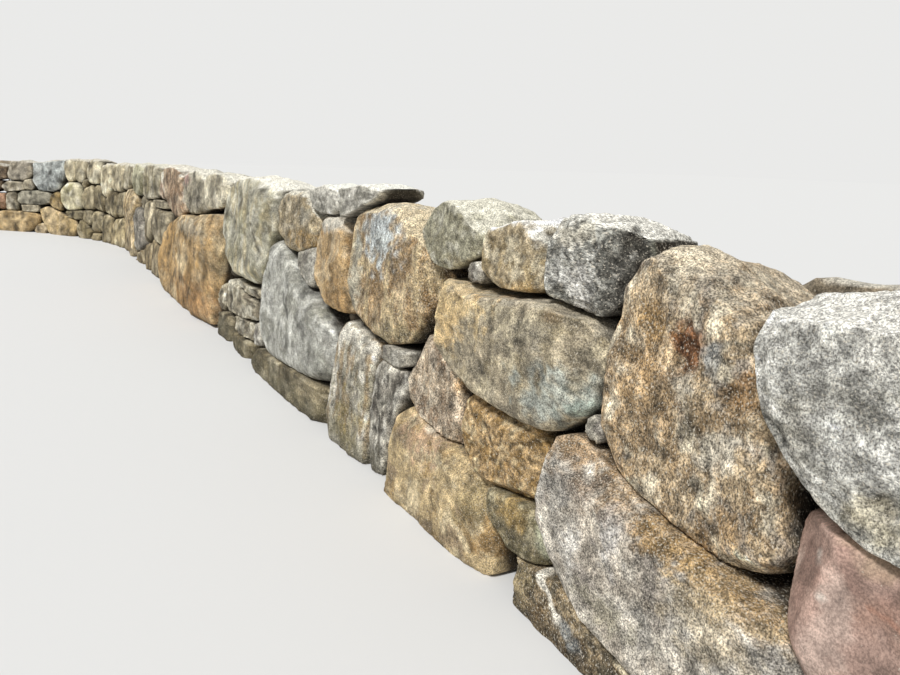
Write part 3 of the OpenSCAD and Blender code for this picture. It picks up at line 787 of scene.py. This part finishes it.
white_patches = [
    (-0.57, 0.93, 0.09, 0.07, "8a8880", 0.7),
    (-0.5, 0.84, 0.05, 0.06, "9b978b", 0.6),
    (-0.68, 0.74, 0.06, 0.04, "a0967c", 0.7),
    # A pale band along the top: bleach, partly a painted highlight of sunlight on the top.
    (-0.62, 1.04, 0.14, 0.04, "e0ddd3", 0.8),
]
dress("white_boulder", "white_rock",
      dict(tones="bcbab2 95938a d8d6ce aaa79d", spread=0.16, bleach="e6e3da", top=0.95,
           mottle=(0.05, 0.25), bands=((0.2, 0.3, 1), 0.1, "dad8d0", 0.6), patches=white_patches),
      dict(cuts=[((0.1, -0.45, 0.9), 0.88)], breaks=10, bite=0.03),
      dict(grain=0.008, lumps=0.014, scoops=0.014, scoop_size=0.09), cell=0.007)

mauve_patches = [
    (-0.577, 0.615, 0.013, 0.02, "d9cfc4", 0.8),
    (-0.606, 0.554, 0.02, 0.01, "d2c8bc", 0.8),
    (-0.7, 0.677, 0.08, 0.04, "b09a80", 0.6),
    (-0.72, 0.58, 0.05, 0.05, "aa8470", 0.4),
]
dress("mauve_boulder", "mauve_rock",
      dict(tones="a68b7e b7a093 977c70", spread=0.2, top=0.3, mottle=(0.06, 0.2), patches=mauve_patches,
           lines=[((-0.7, 0.583), (-0.745, 0.568), 0.01, "a8735a", 0.35),
                  ((-0.575, 0.72), (-0.6, 0.68), 0.006, "4a3630", 0.8)]),
      dict(worn=0.018, breaks=3, bite=0.03,
           cuts=[((0.62, -0.75, 0.2), 0.9), ((-0.25, -0.95, 0.15), 0.95)]),
      dict(grain=0.0012, size=0.25, scoop_size=0.3), cell=0.009)

# %% [markdown]
# The foundation stone and the great boulder are both brown gneiss. The foundation is dark with
# soil at its foot. The great boulder has a rusty recess, which is a dent in its grid and a
# patch of colour at the same place.

# %% Brown boulders
foot_patches = [
    (0.09, 0.06, 0.07, 0.03, "7c8080", 0.8),
    (0.34, 0.08, 0.06, 0.1, "7a6e52", 0.7),
    (-0.15, 0.14, 0.08, 0.05, "b5ab92", 0.8),
    (0.28, 0.21, 0.14, 0.03, "9a7c50", 0.6),
]
dress("foundation_stone", "brown_gneiss",
      dict(tones="7d6d54 62523b 9a8a6e 564e3f", spread=0.12, foot=0.5, patches=foot_patches,
           lines=[((0.26, 0.17), (0.14, 0.08), 0.018, "dcd6c8", 0.9)]),
      dict(breaks=10, cuts=[((0.75, -0.65, 0.05), 0.84), ((0.8, -0.3, -0.5), 0.84)]),
      dict(grain=0.006, scoops=0.009), cell=0.009)

great_patches = [
    (-0.13, 0.905, 0.05, 0.085, "765237", 1.0),
    (-0.31, 0.855, 0.045, 0.05, "7c5f3c", 0.8),
    (-0.215, 0.905, 0.03, 0.04, "999a96", 0.8),
    (-0.16, 0.83, 0.05, 0.03, "c5c0b0", 0.8),
    (-0.285, 0.705, 0.07, 0.06, "d0c8b6", 0.8),
    (-0.01, 0.98, 0.06, 0.06, "a5834f", 0.6),
    (0.02, 0.82, 0.08, 0.1, "b3946a", 0.6),
    (-0.17, 0.79, 0.1, 0.08, "85755c", 0.5),
    # A pale band along the top: bleach, partly a painted highlight of sunlight on the top.
    (-0.14, 1.13, 0.2, 0.035, "cfc4ac", 0.6),
    (-0.4, 0.92, 0.05, 0.1, "a08358", 0.6),
    (-0.08, 1.04, 0.12, 0.05, "8c8474", 0.6),
]
dress("great_boulder", "brown_gneiss",
      dict(tones="b09c7e 947f62 cdc1a8 8a8072", spread=0.13, bleach="cfc2aa", top=0.45,
           mottle=(0.07, 0.3), streaks=(0.05, "a38660", 0.5), patches=great_patches),
      dict(breaks=10, bite=0.035, cuts=[((-0.2, -0.55, 0.8), 0.94)]),
      dict(grain=0.006, scoops=0.01, ledges=0.004,
           dents=[(-0.135, 0.905, 0.045, 0.08, 0.024), (-0.31, 0.855, 0.05, 0.05, 0.012)]),
      cell=0.0072)

# %% [markdown]
# The speckled slab is granite, and its grains come from the finish. A long bevel runs along
# its upper edge, so one given plane faces up and out, and an ochre band lies along it.

# %% Speckled slab
slab_patches = [
    (0.18, 0.56, 0.18, 0.05, "987c58", 0.8),
    (-0.03, 0.52, 0.15, 0.06, "9a7e58", 0.8),
    (-0.2, 0.48, 0.14, 0.055, "9c8056", 0.85),
    (-0.36, 0.45, 0.14, 0.05, "9e8256", 0.85),
    (-0.5, 0.44, 0.12, 0.05, "9c7f54", 0.8),
    (0.09, 0.34, 0.04, 0.05, "d6d2ca", 0.8),
    (-0.05, 0.42, 0.05, 0.08, "a9a9aa", 0.5),
    (0.1, 0.49, 0.09, 0.04, "82776c", 0.7),
    (-0.37, 0.36, 0.14, 0.08, "c2b294", 0.6),
    (-0.05, 0.22, 0.16, 0.04, "8f8a72", 0.5),
]
dress("speckled_slab", "speckled_granite",
      dict(tones="b2a899 928a80 c9c1b3 a09b92", spread=0.18, mottle=(0.07, 0.25), patches=slab_patches),
      dict(worn=0.012, cuts=[((-0.1, -0.6, 0.8), 0.87), ((0.9, -0.45, 0.1), 0.92)]),
      dict(lumps=0.012, scoops=0.008, scoop_size=0.14), cell=0.0073)

# %% [markdown]
# The near blocks of the upper course. Split blocks keep crisp arrises, so their planes are
# cut hard and hardly worn. The striped block shows its foliation as bands of pale and dark,
# and dark patches paint the shade on its shaded right facet.

# %% Upper near blocks
striped_patches_and_shade = [
    (0.31, 1.0, 0.07, 0.06, "cfccc4", 0.8),
    # A dark patch of painted shade on the shaded right facet.
    (0.12, 1.1, 0.05, 0.07, "5c5c50", 0.85),
    (0.42, 1.02, 0.05, 0.05, "c4c2ba", 0.6),
    # A pale band along the top: bleach, partly a painted highlight of sunlight on the top.
    (0.37, 1.14, 0.1, 0.03, "d8d0bc", 0.6),
    # A dark patch of painted shade on the shaded right facet.
    (0.19, 1.05, 0.06, 0.14, "4e4c46", 0.9),
]
dress("striped_block", "striped_gneiss",
      dict(tones="9a9990 6a6860 b5b4ac", spread=0.08, bleach="e2dfd4", top=0.95, mottle=(0.02, 0.35),
           bands=((0.62, 0.1, 0.78), 0.05, "5f5e58", 0.75), patches=striped_patches_and_shade),
      dict(breaks=10, worn=0.007, cuts=[((-0.8, -0.6, 0.1), 0.8), ((0.3, -0.8, 0.5), 0.92)]),
      dict(grain=0.006, scoops=0.01, scoop_size=0.08, ledges=0.006, lie=(0.62, 0.1, 0.78)), cell=0.0072)
dress("buff_block", "ochre_rock",
      dict(tones="aa9a7c 8f7f60 bfb398", spread=0.07, bleach="fdfbf4", top=1.0,
           patches=[(0.43, 0.97, 0.05, 0.08, "a3824e", 0.8), (0.6, 0.94, 0.1, 0.02, "a88a58", 0.6),
                    # A pale band along the top: bleach, partly a painted highlight of sunlight on the
                    # top.
                    (0.52, 1.11, 0.06, 0.04, "e6e2d6", 0.9)]),
      dict(breaks=8, worn=0.008, cuts=[((-0.75, -0.65, 0.15), 0.84), ((-0.3, -0.6, 0.75), 0.9)]),
      dict(scoops=0.008, scoop_size=0.07), cell=0.0078)
dress("round_cope", "green_grey_rock",
      dict(tones="9e9a84 87826c b0ac9a", spread=0.09, bleach="dedac8", top=0.95, mottle=(0.025, 0.3),
           patches=[(0.93, 0.98, 0.1, 0.02, "9c8c6a", 0.5)]),
      dict(breaks=5, cuts=[((0.12, -0.98, 0.12), 0.9), ((-0.45, -0.4, 0.8), 0.88)]), dict(scoops=0.005),
      cell=0.0078)
dress("pin_stones", "grey_granite",
      dict(tones="9a9588 77726a b4b0a4", mottle=(0.02, 0.3)),
      dict(worn=0.005, breaks=8), dict(scoops=0.004, lumps=0.004), cell=0.012)

# %% [markdown]
# The middle course near the eye has a long ochre boulder that turns blue grey at its right end,
# and a pink brown wedge under its far end.

# %% Ochre and rose boulders
ochre_patches = [
    (0.98, 0.84, 0.22, 0.13, "d6bc8c", 0.85),
    (0.95, 0.74, 0.1, 0.08, "ccb080", 0.7),
    (0.23, 0.67, 0.24, 0.08, "a0a69e", 0.8),
    (0.14, 0.65, 0.12, 0.05, "93a095", 0.7),
    (0.46, 0.84, 0.1, 0.05, "807a6c", 0.5),
    (0.35, 0.9, 0.05, 0.02, "5e4c34", 0.7),
    (0.12, 0.9, 0.08, 0.04, "8a9090", 0.8),
    (0.75, 0.92, 0.14, 0.03, "b8935a", 0.6),
]
dress("long_ochre_boulder", "ochre_rock",
      dict(tones="a89c84 8c8370 c0b498 968a70", spread=0.18, top=0.4, mottle=(0.07, 0.25),
           patches=ochre_patches,
           lines=[((0.3, 0.72), (0.1, 0.73), 0.007, "5c6058", 0.6),
                  ((0.37, 0.86), (0.31, 0.78), 0.005, "4c463a", 0.6)]),
      dict(breaks=11, worn=0.012, cuts=[((0.7, -0.7, 0.1), 0.88), ((-0.5, -0.8, 0.2), 0.92)]),
      dict(scoops=0.008, scoop_size=0.1), cell=0.0076)
dress("rose_boulder", "brown_gneiss",
      dict(tones="a8967e 8a7660 bcae98", spread=0.12, mottle=(0.05, 0.3), streaks=(0.04, "c4b8a4", 0.5),
           patches=[(0.87, 0.58, 0.05, 0.05, "a5804e", 0.7), (0.96, 0.48, 0.07, 0.06, "7c6b58", 0.6)]),
      dict(breaks=10, worn=0.008, cuts=[((0.5, -0.75, 0.4), 0.9), ((-0.5, -0.8, -0.3), 0.92)]),
      dict(scoops=0.009, scoop_size=0.08), cell=0.0085)

# %% [markdown]
# Below them lie a golden boulder whose surface is pitted all over, a rounded lobe that stays
# damp and green, and the golden boulder at the base, which is worn smoother.

# %% Golden boulders
dress("pitted_boulder", "ochre_rock",
      dict(tones="ab9068 8a7048 c3ae88", spread=0.06, top=0.2, mottle=(0.02, 0.45),
           patches=[(0.53, 0.6, 0.16, 0.03, "8a704a", 0.8), (0.3, 0.43, 0.04, 0.06, "7a6a42", 0.6),
                    (0.52, 0.4, 0.05, 0.04, "7c5f38", 0.5)]),
      dict(breaks=8, worn=0.012, cuts=[((0, -0.6, 0.8), 0.9)]),
      dict(pits=0.007, pit_size=0.024, grain=0.005), cell=0.0074)
dress("green_lobe", "green_grey_rock",
      dict(tones="7a7057 5c553f 948b71", spread=0.07, mottle=(0.025, 0.35), moss=0.1,
           patches=[(0.26, 0.28, 0.06, 0.06, "9a9c86", 0.7), (0.45, 0.27, 0.08, 0.05, "a48a58", 0.7)]),
      dict(breaks=6, worn=0.012), cell=0.009)

golden_patches = [
    (1.05, 0.31, 0.12, 0.07, "c2a284", 0.7),
    (1.02, 0.37, 0.07, 0.04, "c6bfac", 0.7),
    (0.6, 0.2, 0.14, 0.12, "8f805e", 0.8),
    (0.56, 0.12, 0.1, 0.06, "8c6c40", 0.7),
]
dress("golden_base_boulder", "ochre_rock",
      dict(tones="baa57e 9c855f ccbb98 a89476", spread=0.22, mottle=(0.08, 0.25), top=0.3, foot=0.25,
           patches=golden_patches),
      dict(worn=0.016,
           cuts=[((0.75, -0.65, 0.1), 0.9), ((-0.3, -0.7, 0.6), 0.9),
                 ((0.85, -0.2, -0.5), 0.9)]),
      dict(scoops=0.008, scoop_size=0.13), cell=0.0086)

# %% [markdown]
# Boulders further along look smaller, so their grids are coarser. The tall oval one is rubbed
# in upright streaks, with a scar of blue grey near its top, and stands on two mossy ones.

# %% Tall oval boulder and its base
oval_patches = [
    (1.66, 1.02, 0.2, 0.14, "b2b8b8", 0.95),
    (1.63, 0.94, 0.07, 0.07, "b4b8b4", 0.85),
    (1.88, 0.78, 0.07, 0.25, "a6a596", 0.7),
    # A pale band along the top: bleach, partly a painted highlight of sunlight on the top.
    (1.35, 1.08, 0.1, 0.06, "dccaa2", 0.8),
    (1.15, 0.93, 0.035, 0.04, "5d666c", 0.9),
    (1.4, 0.61, 0.2, 0.05, "8d8468", 0.6),
]
dress("big_oval_boulder", "brown_gneiss",
      dict(tones="9a8260 806848 b09c7c", bleach="d9c9a8", top=0.85, mottle=(0.08, 0.25),
           streaks=(0.05, "c6b48e", 0.6), patches=oval_patches),
      dict(worn=0.015,
           cuts=[((0.7, -0.7, 0.1), 0.9), ((0.1, -0.5, 0.85), 0.95),
                 ((-0.6, -0.75, 0.1), 0.94)]),
      dict(scoops=0.009, scoop_size=0.14), cell=0.01)
dress("pale_base_boulder", "speckled_granite",
      dict(tones="aaa596 8f8a78 c4bfb2", spread=0.14, moss=0.5, mottle=(0.06, 0.3),
           streaks=(0.05, "86704c", 0.75),
           patches=[(1.83, 0.54, 0.14, 0.05, "cdc9bc", 0.8),
                    (1.8, 0.12, 0.16, 0.15, "7a6c40", 0.7)]),
      dict(worn=0.012, cuts=[((0.6, -0.8, 0.2), 0.9)]), dict(scoops=0.009), cell=0.01)
dress("grey_base_boulder", "grey_granite",
      dict(tones="7a756b 4e4a43 a09b8e", spread=0.12, moss=0.4, mottle=(0.06, 0.45),
           streaks=(0.04, "c8c4b8", 0.6)),
      dict(breaks=10), dict(scoops=0.01, scoop_size=0.08), cell=0.01)

# %% [markdown]
# Smooth water-worn stones, such as the pear-shaped one, have hardly any scoops and a long
# smooth wear. The block and the thin slabs on top of them split along flat planes instead.

# %% Smooth boulders and top slabs
dress("buff_oval_boulder", "ochre_rock",
      dict(tones="aa9069 917650 bda988", spread=0.15, mottle=(0.08, 0.25), streaks=(0.05, "b39264", 0.5),
           patches=[(2.3, 1.0, 0.12, 0.05, "b4b0a4", 0.9), (2.02, 0.8, 0.03, 0.2, "7d705a", 0.6)],
           lines=[((2.02, 0.95), (2.01, 0.67), 0.008, "4a3c2a", 0.7)]),
      dict(breaks=8, worn=0.014), dict(scoops=0.007), cell=0.011)
dress("pear_boulder", "pale_rock",
      dict(tones="aaa9a0 8f8e84 c4c3ba", spread=0.22, mottle=(0.1, 0.25), moss=0.3,
           streaks=(0.05, "8b897e", 0.4),
           patches=[(2.31, 0.62, 0.06, 0.1, "85846a", 0.6),
                    (2.22, 0.3, 0.08, 0.08, "74746a", 0.6)],
           lines=[((2.865, 0.58), (2.71, 0.44), 0.01, "4c4c48", 0.7)]),
      dict(breaks=6, worn=0.022, cuts=[((0.5, -0.85, 0.1), 0.93)]),
      dict(grain=0.002, size=0.3, scoops=0.008, scoop_size=0.2), cell=0.013)
dress("pink_block", "speckled_granite",
      dict(tones="97896e 776a50 b0a48c", spread=0.08, top=0.95, bleach="e0dccc", mottle=(0.07, 0.35),
           patches=[(2.7, 0.88, 0.2, 0.05, "a0814c", 0.7), (2.72, 1.01, 0.08, 0.05, "8e8c80", 0.6)]),
      finish=dict(scoops=0.01, scoop_size=0.09), cell=0.0115)
dress("top_slabs", "pale_rock",
      dict(tones="bcb8ac 928f84 d0ccc0", top=1.0, bleach="f2eee2", mottle=(0.03, 0.35),
           bands=((0, 0.1, 1), 0.02, "77746a", 0.5)),
      dict(worn=0.004, breaks=7, bite=0.03), dict(scoops=0.004, lumps=0.005, ledges=0.004), cell=0.011)

# %% [markdown]
# The largest stones of the middle stretch are the cracked boulder, whose crack is a dark line
# of painted shade, and the long orange one, which has room for broad patches. Low ledge stones
# and footings fill the course below them.

# %% Cracked and orange boulders
dress("cracked_boulder", "pale_rock",
      dict(tones="aba794 8e8a74 c0bcaa", spread=0.25, top=1.0, bleach="eeeadc", mottle=(0.12, 0.3),
           streaks=(0.06, "b0a078", 0.5),
           patches=[(3.0, 0.68, 0.15, 0.15, "a89468", 0.6),
                    (3.44, 1.1, 0.3, 0.04, "a8a698", 0.5)],
           # The crack: a dark line of painted shade.
           lines=[((3.68, 0.95), (3.41, 0.74), 0.016, "3c382e", 0.8)]),
      dict(breaks=12, worn=0.012, cuts=[((0.3, -0.9, 0.3), 0.92)]), dict(scoops=0.014, scoop_size=0.13),
      cell=0.015)
dress("ledge_stones", "grey_granite",
      dict(tones="948c78 6c6454 b2ac9a", spread=0.14, mottle=(0.08, 0.4)),
      dict(worn=0.006), dict(ledges=0.006), cell=0.016)
dress("mossy_footings", "green_grey_rock",
      dict(tones="7b715a 584f3c 9a917a", spread=0.2, moss=0.35, mottle=(0.09, 0.35)),
      dict(worn=0.012), dict(scoops=0.01), cell=0.017)
dress("orange_boulder", "ochre_rock",
      dict(tones="b0946a 957a50 c4b08c a08c6c", spread=0.4, mottle=(0.14, 0.35), top=0.8, bleach="ddd2b8",
           streaks=(0.14, "8e7248", 0.45),
           patches=[(5.1, 0.15, 0.9, 0.16, "936c42", 0.6),
                    (5.5, 0.7, 0.6, 0.08, "b0aa98", 0.6), (4.45, 0.6, 0.15, 0.2, "c3b08a", 0.6),
                    (6.5, 0.4, 0.4, 0.3, "b59058", 0.5)]),
      dict(worn=0.02, breaks=12, bite=0.03), dict(scoops=0.016, scoop_size=0.25, lumps=0.016, size=0.4),
      cell=0.02)
dress("pink_coping", "speckled_granite",
      dict(tones="b0a892 938b76 c4bda8", spread=0.2, top=1.0, bleach="dedacb", mottle=(0.12, 0.4),
           patches=[(5.98, 1.08, 0.16, 0.06, "9a7c74", 0.8)]), finish=dict(scoops=0.012), cell=0.018)
dress("brown_upright", "brown_gneiss",
      dict(tones="907a62 725c46 a8967e", spread=0.2, top=1.0, bleach="e4dfd0", mottle=(0.1, 0.35)),
      dict(breaks=8), dict(scoops=0.01), cell=0.019)

# %% [markdown]
# The far half, where a stone is a few dozen pixels wide. Its stones keep the same recipe with
# a coarser grid, and colours that differ from stone to stone in broad patches.

# %% Middle and far boulders
FAR = dict(worn=0.005, breaks=5)
ROUGH = dict(scoops=0.016, scoop_size=0.16, lumps=0.014)


def dress_far(node, slot, tones, each=(), cell=0.028, **colours):
    """Dresses a far node with the recipe that all of them share. Rows of each are a place and
    the tones of the stone there, or None for the node's own."""
    colours = dict(tones=tones, spread=0.22, mottle=(0.12, 0.4), **colours)
    each = [(at, dict(tones=own) if own else {}) for at, own in each]
    dress(node, slot, colours, FAR, ROUGH, cell, each)


dress_far("middle_footings", "ochre_rock", "827459 62553e 9a8e74")
dress_far("middle_boulders", "pale_rock", "847b66 605743 a0967f")
dress_far("purple_boulder", "striped_gneiss", "777268 58544d 918c80")
dress_far("tan_boulder", "brown_gneiss", "a59270 897654 bbab8c")
dress_far("middle_coping", "pale_rock", "948c77 726a52 aea793", top=0.9, bleach="dbd7c6",
          each=[((7.43, 1.0), "9c8470 84705c b0a08c"), ((8.1, 1.0), None),
                ((9.2, 1.0), "928e76 726e56 aaa68d"), ((10.0, 1.0), None)])
dress_far("bend_footings", "green_grey_rock", "9c8e6e 7e7254 aea286")
dress_far("bend_stones", "grey_granite", "7b7159 5c523d 978d74")
dress_far("bend_coping", "pale_rock", "aea48a 928870 c0b8a0", top=0.9)
dress_far("round_pale_boulder", "pale_rock", "b1a98d 97906f c5bea7")
dress_far("far_footings", "ochre_rock", "a8977a 8a7858 bfb096", cell=0.022,
          each=[((12.3, 0.2), "b4a07c 98845e"), ((13.3, 0.15), "b09a74 957e58"),
                ((12.8, 0.1), None), ((14.0, 0.15), "8c7452 6e5a3e")])
dress_far("far_stones", "grey_granite", "9c937e 7e7562 b2aa98", cell=0.019,
          each=[((12.4, 0.53), "a38e68 86724c"), ((12.9, 0.53), "8d8878 706c5e"),
                ((12.95, 0.37), "b5ab94 968c76"), ((13.3, 0.5), None), ((13.0, 0.75), None),
                ((13.3, 0.7), None), ((13.8, 0.45), "8c6e58 705640"),
                ((13.8, 0.7), "6e5e4a 54483a")])
dress_far("far_coping", "grey_granite", "9ca09c 7c807e b2b5b0", top=0.8, cell=0.021,
          each=[((12.5, 0.9), None), ((13.1, 0.95), "9c9484 807868"),
                ((13.7, 0.95), "746450 5a4c3c")])

# %% [markdown]
# The back of the wall is plain coursed rubble of one dull colour. It is seen only from behind,
# so its grid is the coarsest.

# %% Backing
for number in range(1, 6):
    dress(f"backing_{number}", "backing_rubble",
          dict(tones="938875 6e6454 a99f8c 86735a", spread=0.6, mottle=(0.08, 0.5)),
          dict(worn=0.008, breaks=8), dict(scoops=0.014, scoop_size=0.18), cell=0.036)

# %% [markdown]
# Between the tails of the facing boulders and the back lies the heart of the wall, which a
# mason packs with small stones as the wall goes up. A packing stone fills its hole, so the
# holes come first: spots are thrown into the heart at random, and the distance from a spot to
# the nearest big stone is its room. The roomiest spots are taken one after another, each where
# it clears those before it.

# %% Room in the heart
HEART_STATIONS = (-1.15, 13.9)
HEART_DEPTHS = (0.09, 0.50)      # behind the face line
HEART_HEIGHTS = (0.02, 1.0)
LEAST_COVER = 0.08               # how far behind the leaning face a packing stone starts
PEBBLES = (0.018, 0.075)         # the smallest and the largest radius
FILL = (0.8, 1.0)                # the share of its room that a packing stone takes
CLOSENESS = 0.95                 # how near two may come, as a share of their two radii
THROWN = 60000                   # spots
MOST = 1700                      # packing stones
SEED = 77


def placed(s, deep, high):
    """Places at a station, a depth behind the face line and a height: straight along the run,
    and past the start of the bend on an arc about its centre."""
    angle = np.maximum(s - BEND_START, 0) / BEND_RADIUS
    reach = BEND_RADIUS + deep
    x = -np.minimum(s, BEND_START) - reach * np.sin(angle)
    return np.stack([x, reach * np.cos(angle) - BEND_RADIUS, high], 1)


def rooms(spots):
    """The distance from each spot to the nearest stone of the model or the ground, and 0 for a
    spot inside a stone, where the way from the surface runs against its normal."""
    solid = np.concatenate([t for stones in STONES.values() for t in stones])
    corners = np.arange(3 * len(solid)).reshape(-1, 3)
    tree = BVHTree.FromPolygons(solid.reshape(-1, 3).tolist(), corners.tolist())
    found = [tree.find_nearest(spot) for spot in spots]
    at = np.array([hit[0] for hit in found])
    normal = np.array([hit[1] for hit in found])
    away = np.array([hit[3] for hit in found])
    outside = np.sum((spots - at) * normal, axis=1) > 0.3 * away
    return np.where(outside, np.minimum(away, spots[:, 2]), 0)


def roomiest(spots, room, most):
    """Numbers of the chosen spots: the roomiest first, each kept if it stands further from
    every kept one than the sum of their two radii times the closeness."""
    kept = np.zeros(0, int)
    for k in np.argsort(-room):
        gaps = np.linalg.norm(spots[kept] - spots[k], axis=1)
        if np.all(gaps > CLOSENESS * (room[kept] + room[k])):
            kept = np.append(kept, k)
        if len(kept) == most:
            break
    return kept


random = np.random.default_rng(SEED)
spans = HEART_STATIONS, HEART_DEPTHS, HEART_HEIGHTS
thrown = placed(*[random.uniform(*span, THROWN) for span in spans])
thrown = thrown[depth(thrown) > LEAST_COVER]
room = np.minimum(rooms(thrown), PEBBLES[1])
thrown, room = thrown[room > PEBBLES[0]], room[room > PEBBLES[0]]
room = room * random.uniform(*FILL, len(room))
kept = roomiest(thrown, room, MOST)
middles, radii = thrown[kept], room[kept]
print("packing stones:", len(kept), "radius:", round(radii.min(), 3), "to", round(radii.max(), 3))

# %% [markdown]
# There are many packing stones, so each is a plain pebble of 36 triangles: a ball of a few
# rings, with its points pushed in and out at random, stretched along three directions and
# turned any way round. The turns come from splitting random 3 by 3 arrays into a turn and a
# rest, and are kept free of mirroring.

# %% Packing stones
RINGS = (0.8, 1.6, 2.4)          # angles from the front pole, in radians
AROUND = 6                       # points in a ring
KNOBS = (0.78, 1.1)              # how far a point stands out, as a share of the radius
STRETCH = (0.8, 1.05)            # along each direction of its own
PEBBLE_TONE = "8d8270"
PEBBLE_LEVELS = (0.35, 0.95)

ring, angle = np.meshgrid(RINGS, np.arange(AROUND) * 2 * math.pi / AROUND, indexing="ij")
angle = angle + ring
ball = np.stack([np.sin(ring) * np.cos(angle), -np.cos(ring), np.sin(ring) * np.sin(angle)], -1)
ball = np.concatenate([[[0, -1, 0]], ball.reshape(-1, 3), [[0, 1, 0]]])
squares, fans = turned_out(ball, *skin(len(RINGS), AROUND), np.zeros(3))
many, size = len(kept), len(ball)
turns = np.linalg.qr(random.normal(size=(many, 3, 3)))[0]
turns *= np.linalg.det(turns)[:, None, None]
knobs = random.uniform(*KNOBS, (many, size, 1)) * random.uniform(*STRETCH, (many, 1, 3))
points = middles[:, None] + (ball * knobs * radii[:, None, None]) @ turns
tones = tint(PEBBLE_TONE) * random.uniform(*PEBBLE_LEVELS, (many, 1, 1)) * np.ones((1, size, 1))
first = size * np.arange(many)[:, None, None]
squares, fans = (squares + first).reshape(-1, 4), (fans + first).reshape(-1, 3)
piece("packing_stones", "backing_rubble",
      [(points.reshape(-1, 3), squares, fans, tones.reshape(-1, 3))], new=True)
print("pieces:", len(COUNTS), "largest:", max(COUNTS.values()), "triangles")

# %% [markdown]
# A plain studio: an endless pale floor, which takes the wall's shadow.

# %% Floor
FAR_OFF = 90                     # the floor's edges, from the datum
FLOOR_COLOUR = (0.66, 0.66, 0.65, 1)

floor_mesh = bpy.data.meshes.new("floor")
floor_mesh.from_pydata(
    [(-FAR_OFF, -FAR_OFF, 0), (FAR_OFF, -FAR_OFF, 0), (FAR_OFF, FAR_OFF, 0), (-FAR_OFF, FAR_OFF, 0)],
    [], [(0, 1, 2, 3)])
floor = in_scene("floor", floor_mesh)
pale = bpy.data.materials.new("floor")
pale.use_nodes = True
matt = pale.node_tree.nodes["Principled BSDF"]
matt.inputs["Base Color"].default_value = FLOOR_COLOUR
matt.inputs["Roughness"].default_value = 1.0
matt.inputs["Specular IOR Level"].default_value = 0.0
floor_mesh.materials.append(pale)
print("floor:", 2 * FAR_OFF, "m each way")

# %% [markdown]
# Soft light from a white sky, with a wide sun high on the near side. Only what the camera sees
# of the sky is matched to the floor's brightness, so that no horizon shows.

# %% Light
SKY_STRENGTH = 0.5
SEEN_SKY = (0.823, 0.823, 0.812, 1)
SUN_STRENGTH = 3.0
SUN_WIDTH = math.radians(12)
SUN_TURN = (math.radians(32), math.radians(20), 0)

world = bpy.data.worlds.new("studio")
world.use_nodes = True
tree = world.node_tree
join = tree.links.new
sky = tree.nodes["Background"]
sky.inputs["Color"].default_value = (1, 1, 1, 1)
sky.inputs["Strength"].default_value = SKY_STRENGTH
seen = tree.nodes.new("ShaderNodeBackground")
seen.inputs["Color"].default_value = SEEN_SKY
kind = tree.nodes.new("ShaderNodeLightPath")
choice = tree.nodes.new("ShaderNodeMixShader")
join(kind.outputs["Is Camera Ray"], choice.inputs["Fac"])
join(sky.outputs["Background"], choice.inputs[1])
join(seen.outputs["Background"], choice.inputs[2])
join(choice.outputs["Shader"], tree.nodes["World Output"].inputs["Surface"])
bpy.context.scene.world = world
sun = in_scene("sun", bpy.data.lights.new("sun", "SUN"))
sun.data.energy = SUN_STRENGTH
sun.data.angle = SUN_WIDTH
sun.rotation_euler = SUN_TURN
bpy.context.scene.view_settings.view_transform = "Standard"
print("sun:", SUN_STRENGTH, "sky:", SKY_STRENGTH)
